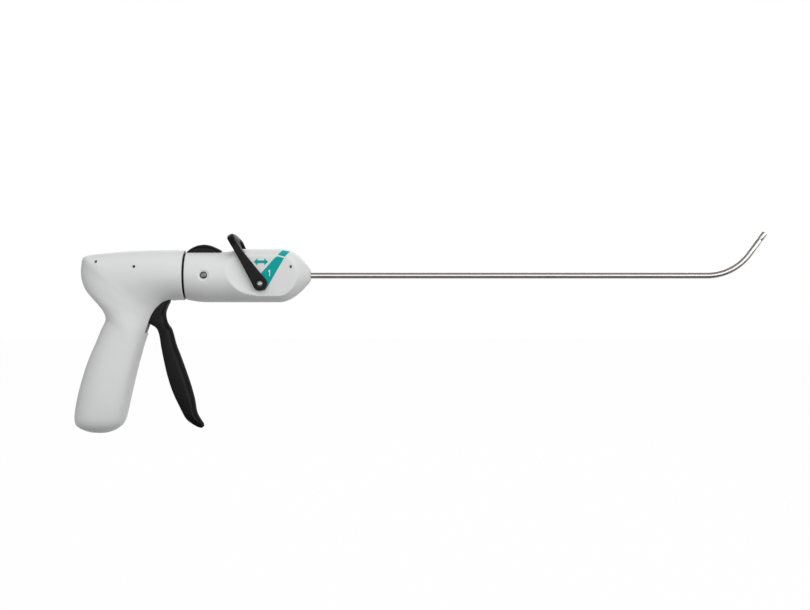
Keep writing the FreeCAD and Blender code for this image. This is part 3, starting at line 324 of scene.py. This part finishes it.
def plate_cutter(outline, y_from, y_to):
    """Corners and faces of a plate across the tool, in mm, from its outline in x and z."""
    outline = np.asarray(outline, float)
    n = len(outline)
    near = np.stack([outline[:, 0], np.full(n, y_from), outline[:, 1]], axis=1)
    far = near + [0, y_to - y_from, 0]
    sides = [(i, (i + 1) % n, n + (i + 1) % n, n + i) for i in range(n)]
    return np.concatenate([near, far]), sides + [tuple(range(n)), tuple(range(2 * n - 1, n - 1, -1))]


def cut_away(piece, cutters, crease=38):
    """Cuts the bars and plates out of a piece, with one Boolean."""
    points, faces = [], []
    for corners, sides in cutters:
        faces += [tuple(len(points) + i for i in side) for side in sides]
        points += (corners * MM).tolist()
    mesh = bpy.data.meshes.new("cutter")
    mesh.from_pydata(points, [], faces)
    cutter = mesh_piece("cutter", mesh)
    tool = piece.modifiers.new("cut", "BOOLEAN")
    tool.operation = "DIFFERENCE"
    tool.solver = "EXACT"
    tool.object = cutter
    cut = bpy.data.meshes.new_from_object(piece.evaluated_get(bpy.context.evaluated_depsgraph_get()))
    piece.modifiers.clear()
    piece.data = cut
    cut.shade_smooth()
    cut.set_sharp_from_angle(angle=math.radians(crease))
    bpy.data.objects.remove(cutter)


def handle_skin():
    """The right half's outer skin, with the crease that runs forward from the top rear corner and the narrow front
    strip of the grip."""
    rows = through(HANDLE_ROWS, np.linspace(0, len(HANDLE_ROWS) - 1, 7 * (len(HANDLE_ROWS) - 1) + 1))
    grid = squared_halves(rows, np.linspace(0, np.pi, HANDLE_COLUMNS))
    x, y, z = grid[..., 0], grid[..., 1], grid[..., 2]
    out = outward(grid)
    if out[40, HANDLE_COLUMNS // 2, 1] > 0:
        out = -out
    run = (x + 175.0) * 0.922 - (z - 13.3) * 0.387
    off = (x + 175.0) * 0.387 + (z - 13.3) * 0.922
    width = 4.0 + 0.30 * np.clip(run, 0, 40)
    ridge = np.clip(1 - np.abs(off) / width, 0, 1) ** 1.6
    height = 0.75 * ridge * fade(run, -1, 5) * (1 - fade(run, 8, 30)) * fade(-y, 0.5, 5)
    return rows, grid + out * height[..., None]


def handle_half(side):
    """A closed half: the outer skin from the rear edge round to the front edge, then the same sections drawn in by
    the wall, back to the rear edge. The first row draws both together at the collar, the last at the butt."""
    rows, skin = handle_skin()
    inner = rows.copy()
    length = np.linalg.norm(rows[:, 0:2] - rows[:, 2:4], axis=1, keepdims=True)
    step = (rows[:, 2:4] - rows[:, 0:2]) / np.maximum(length, 1e-6) * HANDLE_WALL
    inner[:, 0:2] += step
    inner[:, 2:4] -= step
    inner[:, 4] -= HANDLE_WALL
    last = int(np.argmax((inner[:, 4] < 2.0) | (length[:, 0] < 3 * HANDLE_WALL)))
    hollow = squared_halves(inner, np.linspace(np.pi, 0, HANDLE_COLUMNS))
    hollow[last:] = hollow[last - 1, [0, -1]].mean(axis=0)
    grid = np.concatenate([skin, hollow], axis=1)
    n = HANDLE_COLUMNS
    mouth = grid[:1].copy()
    mouth[:, :n] = mouth[:, :n - 1:-1]
    rim = grid[:1].copy()
    rim[:, :n] += (grid[:1, :n - 1:-1] - grid[:1, :n]) * 0.18
    rim[:, :n, 0] = grid[0, 0, 0]
    grid[0, :n, 0] -= COLLAR_EDGE
    grid = np.concatenate([mouth, rim, grid, np.repeat(grid[-1:].mean(axis=1, keepdims=True), 2 * n, axis=1)])
    if side > 0:
        grid = grid * [1, -1, 1]
    return grid


SLOT_HALF_WIDTH = 6.0
HANDLE_SCREWS = ((-162.9, 10.4), (-133.2, 6.6))
SCREW_HOLE_RADIUS = 1.1
SCREW_HEAD_RADIUS = 2.15
trigger_slot = plate_cutter([(-106, -31.5), (-106, -13), (-134, -13), (-134, -44.3), (-118, -44.3)],
                            -SLOT_HALF_WIDTH, SLOT_HALF_WIDTH)
for side, name in ((-1, "right"), (1, "left")):
    shell = grid_piece("handle_half_" + name, handle_half(side), around=True)
    holes = [bar_cutter(SCREW_HOLE_RADIUS, x, z, -30, -5) if side < 0 else bar_cutter(SCREW_HEAD_RADIUS, x, z, 9, 30)
             for x, z in HANDLE_SCREWS]
    cut_away(shell, [trigger_slot] + holes)
    shell.data.materials.append(grey_plastic.material)
    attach(shell, "handle")
    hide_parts("handle_shell_" + name)

# Barrel: two light grey moulded halves that turn on the bearing ring, screwed together from the left. The top is
# lower round the button, each side has a level flat that a scoop leads into, and the nose draws in to the shaft.
BARREL_REAR_X = -95.3
BARREL_WALL = 2.4
BARREL_COLUMNS = 161
FLAT_Y = 14.5
SCOOP_CENTRE = (-40.4, 7.7)
SCOOP_RADIUS = 23.3
SCOOP_WIDTH = 10.0
SIDE_SCREW = (-80.2, 0.0)
LEVER_AXLE = (-37.5, -6.4)
NOSE_SCREW = (-14.3, 6.5)
AXLE_BORE_RADIUS = 2.05


def rounding(distance, radius):
    """How far a rounded edge draws in, at a distance from the end face: r(1 - sqrt(1 - t^2)), with t from 1 to 0."""
    t = np.clip(1 - distance / radius, 0, 1)
    return radius * (1 - np.sqrt(1 - t * t))


def barrel_section(x):
    """Half height, middle height and lower squareness at x. The top steps up in front of the button, the nose draws
    in with a power of the distance, more steeply below."""
    ends = rounding(x - BARREL_REAR_X, 0.5) + rounding(-x, 0.8)
    top = 18.3 + 2.2 * fade(x, -65.5, -52.5) - 16.4 * np.clip((x + 22) / 22, 0, 1) ** 2.05 - ends
    rear = 2.0 * (1 - np.clip((x - BARREL_REAR_X) / 17, 0, 1)) ** 2
    bottom = -20.5 + rear + 16.4 * np.clip((x + 24) / 24, 0, 1) ** 1.85 + ends
    return (top - bottom) / 2, (top + bottom) / 2, 2.0 + 0.3 * fade(x, -66, -45) * (1 - fade(x, -22, -6))


def flattened(x, z, skin, flat):
    """From the centre plane to the side: what lies beyond the flat shrinks across the scoop by (1 - d/w)^2 of the
    distance d inside its outline, with both edges slightly soft. The scoop narrows from its rear to its foot."""
    back = np.maximum(SCOOP_CENTRE[0] - x, 0)
    reach = np.hypot(back, np.minimum(z - SCOOP_CENTRE[1], 0))
    width = SCOOP_WIDTH * np.sqrt(back / np.maximum(reach, 1)) + 0.4
    inside = SCOOP_RADIUS - reach
    inside = (inside + np.sqrt(inside**2 + 0.12)) / 2
    beyond = skin - flat
    beyond = (beyond + np.sqrt(beyond**2 + 0.1)) / 2
    kept = (1 - np.clip(inside / width, 0, 1)) ** 2
    return np.where(skin > 6, skin - beyond * (1 - kept), skin)


def barrel_reach(x, z):
    """From the centre plane to the barrel's outer skin, at a point seen from the side."""
    half, middle, square = barrel_section(x)
    up = (z - middle) / half
    power = np.where(up > 0, 2.0, square)
    return flattened(x, z, half * np.maximum(1 - np.abs(up) ** power, 0) ** (1 / power), FLAT_Y)


def barrel_surface(x, turns, wall):
    """Half sections from the top, round the right side, to the bottom, drawn in by the wall."""
    half, middle, square = (value[:, None] for value in barrel_section(x))
    if wall:
        half = np.maximum(half - wall - 3 * fade(x, -9, 0)[:, None], 2.95)
    cos, sin = np.cos(turns)[None, :], np.sin(turns)[None, :]
    power = np.where(cos > 0, 2.0, square)
    z = middle + half * np.sign(cos) * np.abs(cos) ** (2 / power)
    x = np.broadcast_to(x[:, None], z.shape)
    y = flattened(x, z, half * np.abs(sin) ** (2 / power), FLAT_Y - wall)
    if not wall:
        y = y - 0.7 * (1 - fade(np.hypot(x - SIDE_SCREW[0], z - SIDE_SCREW[1]), 2.7, 4.8))
    return np.stack([x, -y, z], axis=-1)


def barrel_half(side):
    """A closed half: the skin from top to bottom, the hollow back to the top, drawn together at both ends."""
    curve = np.linspace(0, np.pi / 2, 6)
    x = np.concatenate([BARREL_REAR_X + 0.5 * (1 - np.cos(curve)), np.linspace(-94.8, -22, 140)[1:],
                        np.linspace(-22, -0.8, 50)[1:], -0.8 + 0.8 * np.sin(curve)[1:]])
    turns = np.linspace(0, np.pi, BARREL_COLUMNS)
    grid = np.concatenate([barrel_surface(x, turns, 0.0), barrel_surface(x, turns[::-1], BARREL_WALL)], axis=1)
    ends = grid[[0, -1]].copy()
    ends[:, :BARREL_COLUMNS] = ends[:, :BARREL_COLUMNS - 1:-1]
    return np.concatenate([ends[:1], grid, ends[1:]]) * [1, -side, 1]


button_slot = plate_cutter([(-94.9, 13.5), (-68.2, 13.5), (-68.2, 26), (-94.9, 26)], -5.8, 5.8)
for side, name in ((-1, "right"), (1, "left")):
    shell = grid_piece("barrel_half_" + name, barrel_half(side), around=True)
    holes = [bar_cutter(AXLE_BORE_RADIUS, *LEVER_AXLE, side * 8, side * 25),
             bar_cutter(2.95, *SIDE_SCREW, side * 17.5, side * 25)]
    if side < 0:
        holes.append(bar_cutter(SCREW_HOLE_RADIUS, *NOSE_SCREW, -25, -5))
    else:
        holes += [bar_cutter(SCREW_HEAD_RADIUS, x, z, 9, 25) for x, z in ((-57.0, -12.5), (-57.0, 12.0), NOSE_SCREW)]
    cut_away(shell, [button_slot] + holes)
    shell.data.materials.append(grey_plastic.material)
    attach(shell, "barrel")
    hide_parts("barrel_shell_" + name)

# Satin black plastic: the one finish of the bearing ring, the trigger, the button and the lever, dark enough that
# the soft boxes show on it as charcoal.
black_plastic = Finish("satin black moulded plastic")
black_plastic.set(Base_Color=(0.0062, 0.0058, 0.0060, 1), Roughness=0.33 + 0.08 * black_plastic.noise(140.0),
                  IOR=1.40, Specular_IOR_Level=0.19)
black_plastic.bump(black_plastic.noise(2200.0), 0.12, 0.0001)

# Trigger: one black moulding. Its side is flat as far as a ridge that runs down beside the front edge, where the
# rounded finger face begins; its root swells into a fin that fills the slot.
TRIGGER_ROWS = [
    # front edge x, z; rear edge x, z; half width; from the front edge back to the ridge
    (-109.6, -14.5, -120.5, -16.0, 5.2, 2.0),
    (-107.9, -19.5, -123.5, -22.0, 5.2, 2.2),
    (-109.6, -23.6, -126.0, -29.5, 5.3, 3.0),
    (-111.2, -28.5, -126.6, -35.0, 5.4, 3.6),
    (-110.8, -33.5, -123.0, -37.4, 5.4, 3.9),
    (-109.2, -37.4, -118.9, -40.0, 5.5, 4.0),
    (-107.0, -40.6, -117.0, -43.2, 5.7, 4.0),
    (-105.5, -45.0, -115.9, -47.5, 5.7, 4.0),
    (-103.3, -53.1, -114.6, -55.2, 6.4, 4.0),
    (-99.6, -62.7, -112.3, -66.3, 6.8, 4.1),
    (-95.9, -73.0, -109.6, -77.5, 7.0, 4.1),
    (-92.2, -84.0, -105.8, -89.2, 7.0, 4.0),
    (-89.2, -95.1, -101.0, -99.6, 6.8, 3.9),
    (-87.5, -104.6, -96.0, -109.3, 6.2, 3.4),
    (-84.9, -109.8, -91.4, -113.6, 5.4, 2.7),
    (-82.5, -113.4, -87.2, -116.2, 4.0, 1.8),
    (-82.2, -114.9, -84.9, -117.0, 2.6, 1.1),
]


def trigger_grid():
    """Sections from the front edge to the rear edge. The finger face is an arc of 62 degrees stretched to end on the
    ridge, then the flat side, then a quarter round at the rear; the other side is its mirror image."""
    rows = through(TRIGGER_ROWS, np.linspace(0, len(TRIGGER_ROWS) - 1, 8 * (len(TRIGGER_ROWS) - 1) + 1))
    front, rear, half, ridge = rows[:, 0:2], rows[:, 2:4], rows[:, 4:5], rows[:, 5:6]
    length = np.linalg.norm(rear - front, axis=1, keepdims=True)
    corner = np.minimum(1.8, 0.25 * length)
    arc = np.linspace(0, math.radians(62), 12)[None, :]
    face_in = ridge * (1 - np.cos(arc)) / (1 - math.cos(math.radians(62)))
    face_out = half * np.sin(arc) / math.sin(math.radians(62))
    flat = np.linspace(0, 1, 9)[None, 1:]
    side_in = ridge + (length - corner - ridge) * flat
    side_out = half * (1 - 0.10 * flat**2)
    turn = np.linspace(0, np.pi / 2, 8)[None, 1:]
    rear_in = length - corner + corner * np.sin(turn)
    rear_out = half * 0.9 - corner * (1 - np.cos(turn))
    into = np.concatenate([face_in, side_in, rear_in], axis=1)
    out = np.concatenate([face_out, side_out, rear_out], axis=1)
    into = np.concatenate([into, into[:, ::-1]], axis=1)[..., None]
    out = np.concatenate([-out, out[:, ::-1]], axis=1)
    place = front[:, None, :] + (rear - front)[:, None, :] / length[..., None] * into
    grid = np.stack([place[..., 0], out, place[..., 1]], axis=-1)
    middle = grid.mean(axis=1, keepdims=True)
    end = middle[-1:] + 0.75 * (grid[-1:] - middle[-1:]) + [0.45, 0, -0.5]
    tip = np.repeat(middle[-1:] + [0.6, 0, -0.65], grid.shape[1], axis=1)
    return np.concatenate([np.repeat(middle[:1], grid.shape[1], axis=1), grid, end, tip])


def strap(x, z, radius, far_x, far_z, far_radius):
    """The outline of a belt round two circles: half of each circle, on the side away from the other."""
    away = math.atan2(z - far_z, x - far_x)
    turn = np.linspace(-np.pi / 2, np.pi / 2, 13)
    near = np.stack([x + radius * np.cos(away + turn), z + radius * np.sin(away + turn)], axis=1)
    far = np.stack([far_x - far_radius * np.cos(away + turn), far_z - far_radius * np.sin(away + turn)], axis=1)
    return np.concatenate([near, far])


TRIGGER_AXLE = (-115.5, -12.5)
TRIGGER_PINS = (-117.8, 3.84)
fork = [plate_cutter([(-121.5, -16.9), (-115.0, -16.9), (-115.0, -14.7), (-121.5, -14.7)], -8.4, 8.4)]
for side in (-1, 1):
    fork.append(plate_cutter(strap(*TRIGGER_AXLE, 3.6, *TRIGGER_PINS, 1.9), side * 6.4, side * 8.4))
    fork.append(bar_cutter(1.0, *TRIGGER_PINS, side * 4.2, side * 6.5))
trigger = grid_piece("trigger_lever", trigger_grid(), around=True, solids=fork)
trigger.data.materials.append(black_plastic.material)
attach(trigger, "trigger")
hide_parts("trigger")

# Rotation lock: a domed black button that stands in a slot on top of the barrel, with a stem and a flange inside.
BUTTON_ROWS = [
    # x, top of the dome
    (-94.7, 18.2), (-94.4, 18.8), (-92.9, 20.3), (-91.2, 21.4), (-89.2, 22.4), (-86.4, 23.35), (-82.4, 23.9),
    (-79.0, 23.6), (-76.0, 22.8), (-73.2, 21.65), (-70.6, 20.4), (-69.0, 19.4), (-68.5, 18.2)]
BUTTON_HALF_WIDTH = 5.4
BUTTON_SEAM = 18.1


def button_grid():
    """Across the button the dome's height is H times (1 - |y/w|^3)^(1/3), on a plain skirt."""
    rows = through(BUTTON_ROWS, np.linspace(0, len(BUTTON_ROWS) - 1, 49))
    across = np.sin(np.linspace(-np.pi / 2, np.pi / 2, 41))[None, :]
    height = np.maximum(rows[:, 1:] - BUTTON_SEAM, 0.02) * (1 - np.abs(across) ** 3) ** (1 / 3)
    x = np.broadcast_to(rows[:, :1], height.shape)
    y = np.broadcast_to(across * BUTTON_HALF_WIDTH, height.shape)
    dome = np.stack([x, y, BUTTON_SEAM + height], axis=-1)
    skirt = dome[:, [-1, 0]] * [1, 1, 0] + [0, 0, 16.0]
    grid = np.concatenate([dome, skirt], axis=1)
    ends = grid[[0, -1]].mean(axis=1, keepdims=True).repeat(grid.shape[1], axis=1)
    return np.concatenate([ends[:1], grid, ends[1:]])


stem = [plate_cutter([(-83.2, 13.3), (-71.0, 13.3), (-71.0, 16.2), (-83.2, 16.2)], -5.4, 5.4),
        plate_cutter([(-83.2, 11.9), (-71.0, 11.9), (-71.0, 13.3), (-83.2, 13.3)], -7.4, 7.4)]
button = grid_piece("lock_button_dome", button_grid(), around=True, solids=stem)
button.data.materials.append(black_plastic.material)
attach(button, "button")
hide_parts("lock_button")

# Articulation lever: one black moulding, an arm down each side of the barrel and a bridge over it, which leans back
# at rest. A bright screw sits in a round recess in each foot.
LEVER_PIVOT = np.array([LEVER_AXLE[0], 0.0, LEVER_AXLE[1]])
LEVER_LEAN = math.radians(-33.5)
LEVER_UP = np.array([math.sin(LEVER_LEAN), 0.0, math.cos(LEVER_LEAN)])
LEVER_FORWARD = np.array([math.cos(LEVER_LEAN), 0.0, -math.sin(LEVER_LEAN)])
FOOT_RADIUS = 5.45
ARM_HALF_WIDTH = 2.35
RECESS_RADIUS = 3.9
RECESS_FLOOR = 17.6
LEVER_TOP = 45.0
# across and up: where the outer and the inner outline stand on the foot, start and end their shoulder
LEVER_OUTER = (19.0, 13.0, LEVER_TOP)
LEVER_INNER = (14.85, 9.0, 37.0)


def arch_outline(half_width, shoulder, top, at):
    """Half an upside-down U: 0 to 1 up the arm, 1 to 2 round the shoulder, 2 to 3 in to the middle of the bridge."""
    foot = -FOOT_RADIUS * np.cos(np.clip(at * 4, 0, 1) * np.pi / 2)
    up = np.where(at < 0.25, foot, (top - shoulder) * np.clip((at - 0.25) / 0.75, 0, 1))
    angle = np.clip(at - 1, 0, 1) * np.pi / 2
    y = half_width - shoulder * (1 - np.cos(angle)) - (half_width - shoulder) * np.clip(at - 2, 0, 1)
    z = np.where(at < 1, up, top - shoulder * (1 - np.sin(angle)))
    return np.stack([y, z], axis=1)


def lever_half_width(up):
    """Half of the arm's width seen from the side: a circle at the foot, then narrower with (1 - up/34)^1.3, and a
    circle at the top."""
    arm = ARM_HALF_WIDTH + (FOOT_RADIUS - ARM_HALF_WIDTH) * (1 - np.clip(up / 34, 0, 1)) ** 1.3
    foot = np.sqrt(np.maximum(FOOT_RADIUS**2 - np.minimum(up, 0) ** 2, 0))
    end = np.sqrt(np.maximum(ARM_HALF_WIDTH**2 - (up - LEVER_TOP + ARM_HALF_WIDTH) ** 2, 0))
    return np.where(up < 0, foot, np.where(up > LEVER_TOP - ARM_HALF_WIDTH, end, arm))


def lever_grid():
    """Along the bail from foot to foot; round each section runs a squared ellipse of power 7, from the inner to the
    outer outline and from the front to the rear of the arm. The bridge reaches further forward than the arms."""
    at = np.concatenate([np.linspace(0, 0.25, 13), np.linspace(0.25, 1, 9)[1:], np.linspace(1, 3, 37)[1:]])
    outer = arch_outline(*LEVER_OUTER, at)
    inner = arch_outline(*LEVER_INNER, at)
    flip = np.array([-1, 1])
    outer = np.concatenate([outer, (outer * flip)[-2::-1]])
    inner = np.concatenate([inner, (inner * flip)[-2::-1]])
    turn = np.arange(56) * 2 * np.pi / 56
    depth = 0.5 + 0.5 * np.sign(np.cos(turn)) * np.abs(np.cos(turn)) ** (2 / 7)
    wide = np.sign(np.sin(turn)) * np.abs(np.sin(turn)) ** (2 / 7)
    place = inner[:, None, :] + (outer - inner)[:, None, :] * depth[None, :, None]
    flare = 1.0 * (1 - fade(np.abs(place[..., 0]), 10, 17)) + 1.6 * fade(place[..., 1], 24, 36) * (1 - depth)
    flare = flare * np.maximum(wide, 0)
    forward = wide[None, :] * lever_half_width(place[..., 1]) + flare
    return (LEVER_PIVOT + place[..., :1] * np.array([0, 1.0, 0]) + place[..., 1:] * LEVER_UP
            + forward[..., None] * LEVER_FORWARD)


def turned_across(x, z, side, profile, sides=36):
    """A form turned about a line across the tool, on its right (-1) or left (1) side: radius, distance from the
    centre plane and whether that row is a hexagon."""
    angle = np.arange(sides) * 2 * np.pi / sides
    hexagon = math.cos(np.pi / 6) / np.cos(np.mod(angle, np.pi / 3) - np.pi / 6)
    rows = []
    for radius, distance, six_sided in profile:
        reach = radius * (hexagon if six_sided else 1.0)
        rows.append(np.stack([x + reach * np.cos(angle), np.full(sides, side * distance), z + reach * np.sin(angle)],
                             axis=1))
    return np.stack(rows)


def screw_head(radius, seat, height, socket, shank, shank_end):
    """Rows for a low domed head with a hexagon socket, on a shank."""
    top = seat + height
    return [(0, shank_end, False), (shank, shank_end, False), (shank, seat, False), (radius, seat, False),
            (radius, seat + 0.35 * height, False), (0.95 * radius, seat + 0.65 * height, False),
            (0.82 * radius, seat + 0.88 * height, False), (0.66 * radius, top, False), (socket, top - 0.02, True),
            (0.96 * socket, top - 0.1, True), (0.94 * socket, top - 0.6 * height, True), (0, top - 0.7 * height, False)]


lever = grid_piece("articulation_bail", lever_grid(), around=True)
cut_away(lever, [bar_cutter(RECESS_RADIUS, *LEVER_AXLE, side * RECESS_FLOOR, side * 25, 48) for side in (-1, 1)])
cut_away(lever, [bar_cutter(AXLE_BORE_RADIUS, *LEVER_AXLE, side * 10, side * 20) for side in (-1, 1)])
lever.data.materials.append(black_plastic.material)
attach(lever, "lever")
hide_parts("articulation_lever")

screw_steel = Finish("bright screw steel")
screw_steel.set(Base_Color=(0.30, 0.305, 0.32, 1), Metallic=1.0, Roughness=0.2 + 0.08 * screw_steel.noise(900.0))
for side, name in ((-1, "right"), (1, "left")):
    screw = grid_piece("lever_screw_" + name, turned_across(
        *LEVER_AXLE, side, screw_head(1.95, RECESS_FLOOR, 0.9, 0.75, 0.85, 16.2)), around=True)
    screw.data.materials.append(screw_steel.material)
    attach(screw, "lever")
    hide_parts("lever_screws")

# Side screws: a domed, blued steel head in a soft dimple on each side of the barrel's rear, which holds the carrier
# inside it.
dark_steel = Finish("blued screw steel")
dark_steel.set(Base_Color=(0.12, 0.125, 0.14, 1), Metallic=1.0, Roughness=0.16 + 0.06 * dark_steel.noise(900.0))
for side, name in ((-1, "right"), (1, "left")):
    screw = grid_piece("side_screw_" + name, turned_across(
        *SIDE_SCREW, side, screw_head(2.6, 17.7, 1.0, 1.0, 1.5, 9.0)), around=True)
    screw.data.materials.append(dark_steel.material)
    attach(screw, "barrel")
    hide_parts("side_screws")

# Marks: position marks printed on each side of the barrel in teal, which the lever swings between, with a plain
# numeral in white. They lie on the barrel's own surface.
teal_print = Finish("teal print")
teal_print.set(Base_Color=(0.0, 0.36, 0.345, 1), Roughness=0.5 + 0.05 * teal_print.noise(300.0),
               Specular_IOR_Level=0.12)
white_print = Finish("white print")
white_print.set(Base_Color=(0.82, 0.85, 0.85, 1), Roughness=0.42 + 0.05 * white_print.noise(300.0))
FRONT_BAND = [(-39.6, -1.3), (-25.2, 14.7), (-19.4, 13.1), (-31.2, -7.4), (-33.9, -11.6), (-38.5, -11.2)]
FRONT_TAB = [(-24.5, 15.6), (-19.0, 14.0), (-15.6, 18.2), (-21.0, 19.4)]
REAR_BAND = [(-42.0, -4.6), (-52.9, 12.8), (-48.4, 14.6), (-39.9, 1.2), (-39.2, -3.4)]
REAR_TAB = [(-53.7, 14.0), (-48.9, 15.6), (-50.6, 19.5), (-55.9, 18.9)]
ARROW = [(-42.6, 10.2), (-39.6, 13.0), (-39.6, 11.3), (-34.5, 11.3), (-34.5, 13.0), (-31.5, 10.2), (-34.5, 7.4),
         (-34.5, 9.1), (-39.6, 9.1), (-39.6, 7.4)]
NUMERAL = [(-0.9, 1.3), (0.1, 2.3), (0.55, 2.3), (0.55, -2.3), (0.0, -2.3), (0.0, 1.35), (-0.9, 0.75)]
NUMERAL_PLACE = (-30.7, 1.8)


def printed(name, outline, side, finish, lift=0.08):
    """A thin patch of print: its outline filled with small triangles, given a thickness and laid on the skin."""
    work = bmesh.new()
    work.faces.new([work.verts.new((x, 0, z)) for x, z in outline]).normal_update()
    bmesh.ops.triangulate(work, faces=work.faces[:])
    bmesh.ops.subdivide_edges(work, edges=work.edges[:], cuts=15, use_grid_fill=True)
    bottom = set(work.verts)
    bmesh.ops.extrude_face_region(work, geom=work.faces[:])
    for vert in work.verts:
        reach = float(barrel_reach(np.float64(vert.co.x), np.float64(vert.co.z)))
        vert.co.y = side * (reach + (-0.03 if vert in bottom else lift))
    bmesh.ops.scale(work, vec=(MM, MM, MM), verts=work.verts)
    mesh = bpy.data.meshes.new(name)
    work.to_mesh(mesh)
    work.free()
    patch = mesh_piece(name, mesh)
    patch.data.materials.append(finish.material)
    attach(patch, "barrel")


for side, name in ((-1, "right"), (1, "left")):
    printed("mark_front_band_" + name, FRONT_BAND, side, teal_print)
    printed("mark_front_tab_" + name, FRONT_TAB, side, teal_print)
    printed("mark_rear_band_" + name, REAR_BAND, side, teal_print)
    printed("mark_rear_tab_" + name, REAR_TAB, side, teal_print)
    printed("mark_arrow_" + name, ARROW, side, teal_print)
    numeral = [(NUMERAL_PLACE[0] - side * x, NUMERAL_PLACE[1] + z) for x, z in NUMERAL]
    printed("mark_numeral_" + name, numeral, side, white_print, 0.11)

# Shaft: a drawn stainless tube with a bush in the nose, a flexing stretch that rests in a curve, and a tip with a
# neck and a crown, which the barrel carries.
steel = Finish("drawn stainless tube")
steel.set(Base_Color=(0.60, 0.575, 0.545, 1), Metallic=1.0,
          Roughness=0.27 + 0.03 * steel.noise(900.0, 2.0, (0.03, 1, 1)))
SHAFT_RADIUS = 2.4
BORE_RADIUS = 2.1
BUSH_RADIUS = 2.9
SHAFT_START = -27.0
BEND_START = 304.8
BEND_RADIUS = 40.5
BEND_ANGLE = math.radians(54.0)
TIP_LENGTH = 19.8
TIP_BORE_RADIUS = 1.8
ROUND = 40


def tube_rings(rings, first_angle=0.0):
    """Rings round the shaft's centre line: distance along it, counted from the start of the bend, and radius. Before
    the bend the line is straight, then an arc, then straight again."""
    turn = np.arange(ROUND) * 2 * np.pi / ROUND
    grid = []
    for along, radius in rings:
        angle = min(max(along / BEND_RADIUS, 0.0), BEND_ANGLE)
        rest = along - angle * BEND_RADIUS
        ahead = np.array([math.cos(angle), 0.0, math.sin(angle)])
        up = np.array([-math.sin(angle), 0.0, math.cos(angle)])
        middle = np.array([BEND_START + BEND_RADIUS * math.sin(angle), 0.0, BEND_RADIUS * (1 - math.cos(angle))])
        middle = middle + rest * ahead
        grid.append(middle + radius * (np.sin(turn)[:, None] * up + np.cos(turn)[:, None] * np.array([0, 1.0, 0])))
    return np.stack(grid)


def sleeve(start, end, count):
    """Rings of a plain tube, outside from start to end and back inside, closed on itself."""
    steps = np.linspace(start, end, count)
    rings = [(s, SHAFT_RADIUS) for s in steps] + [(s, BORE_RADIUS) for s in steps[::-1]]
    return rings + rings[:1]


bush_start = SHAFT_START - BEND_START
straight = [(bush_start, BORE_RADIUS), (bush_start, BUSH_RADIUS), (-BEND_START, BUSH_RADIUS)]
straight += sleeve(-BEND_START, 0.0, 2)[:-1] + [(bush_start, BORE_RADIUS)]
tube = grid_piece("shaft_tube", tube_rings(straight), around=True)
tube.data.materials.append(steel.material)
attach(tube, "barrel")
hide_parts("outer_tube")

bend_end = BEND_RADIUS * BEND_ANGLE
for index in range(4):
    first, last = bend_end * index / 4, bend_end * (index + 1) / 4
    cell = grid_piece("flexing_cell_%d" % (index + 1), tube_rings(sleeve(first, last, 9)), around=True)
    cell.data.materials.append(steel.material)
    ends = tube_rings([(first, 0.0), (last, 0.0)])[:, 0] * MM
    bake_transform(cell)
    if index:
        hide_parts("flex_link_%d" % index)

TIP_PROFILE = [
    # distance back from the end of the tip, radius
    (19.8, 2.4), (7.55, 2.4), (7.3, 2.33), (7.15, 2.1), (6.6, 2.02), (6.1, 2.06), (5.95, 2.3), (5.7, 2.36),
    (3.2, 2.36), (1.6, 2.32), (0.12, 2.28), (0.0, 2.2)]
tip_rings = [(bend_end + TIP_LENGTH - back, radius) for back, radius in TIP_PROFILE]
tip_rings += [(bend_end + TIP_LENGTH, 1.85), (bend_end + TIP_LENGTH - 0.12, TIP_BORE_RADIUS),
              (bend_end + 12.0, TIP_BORE_RADIUS), (bend_end, BORE_RADIUS)]
tip = grid_piece("tip_sleeve", tube_rings(tip_rings + tip_rings[:1]), around=True)
tip.data.materials.append(steel.material)
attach(tip, "tip")
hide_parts("tip_tube")

# Inner pieces: the CAD's own nodes that stay, such as the axles, springs, spool, slider and bearing ring, get the
# finish of their slot.
acetal = Finish("natural acetal")
acetal.set(Base_Color=(0.6, 0.6, 0.57, 1), Roughness=0.5 + 0.05 * acetal.noise(200.0))

finish_of_slot = {
    "housing": grey_plastic, "black_controls": black_plastic, "screws": screw_steel, "shaft_steel": steel,
    "pins": screw_steel, "springs": screw_steel, "inner_mouldings": acetal, "fasteners": acetal}
for part in frame["record"]["subparts"]:
    node = frame["nodes"][part["node"]]
    node.data.materials.clear()
    node.data.materials.append(finish_of_slot[part["material_slot"]].material)
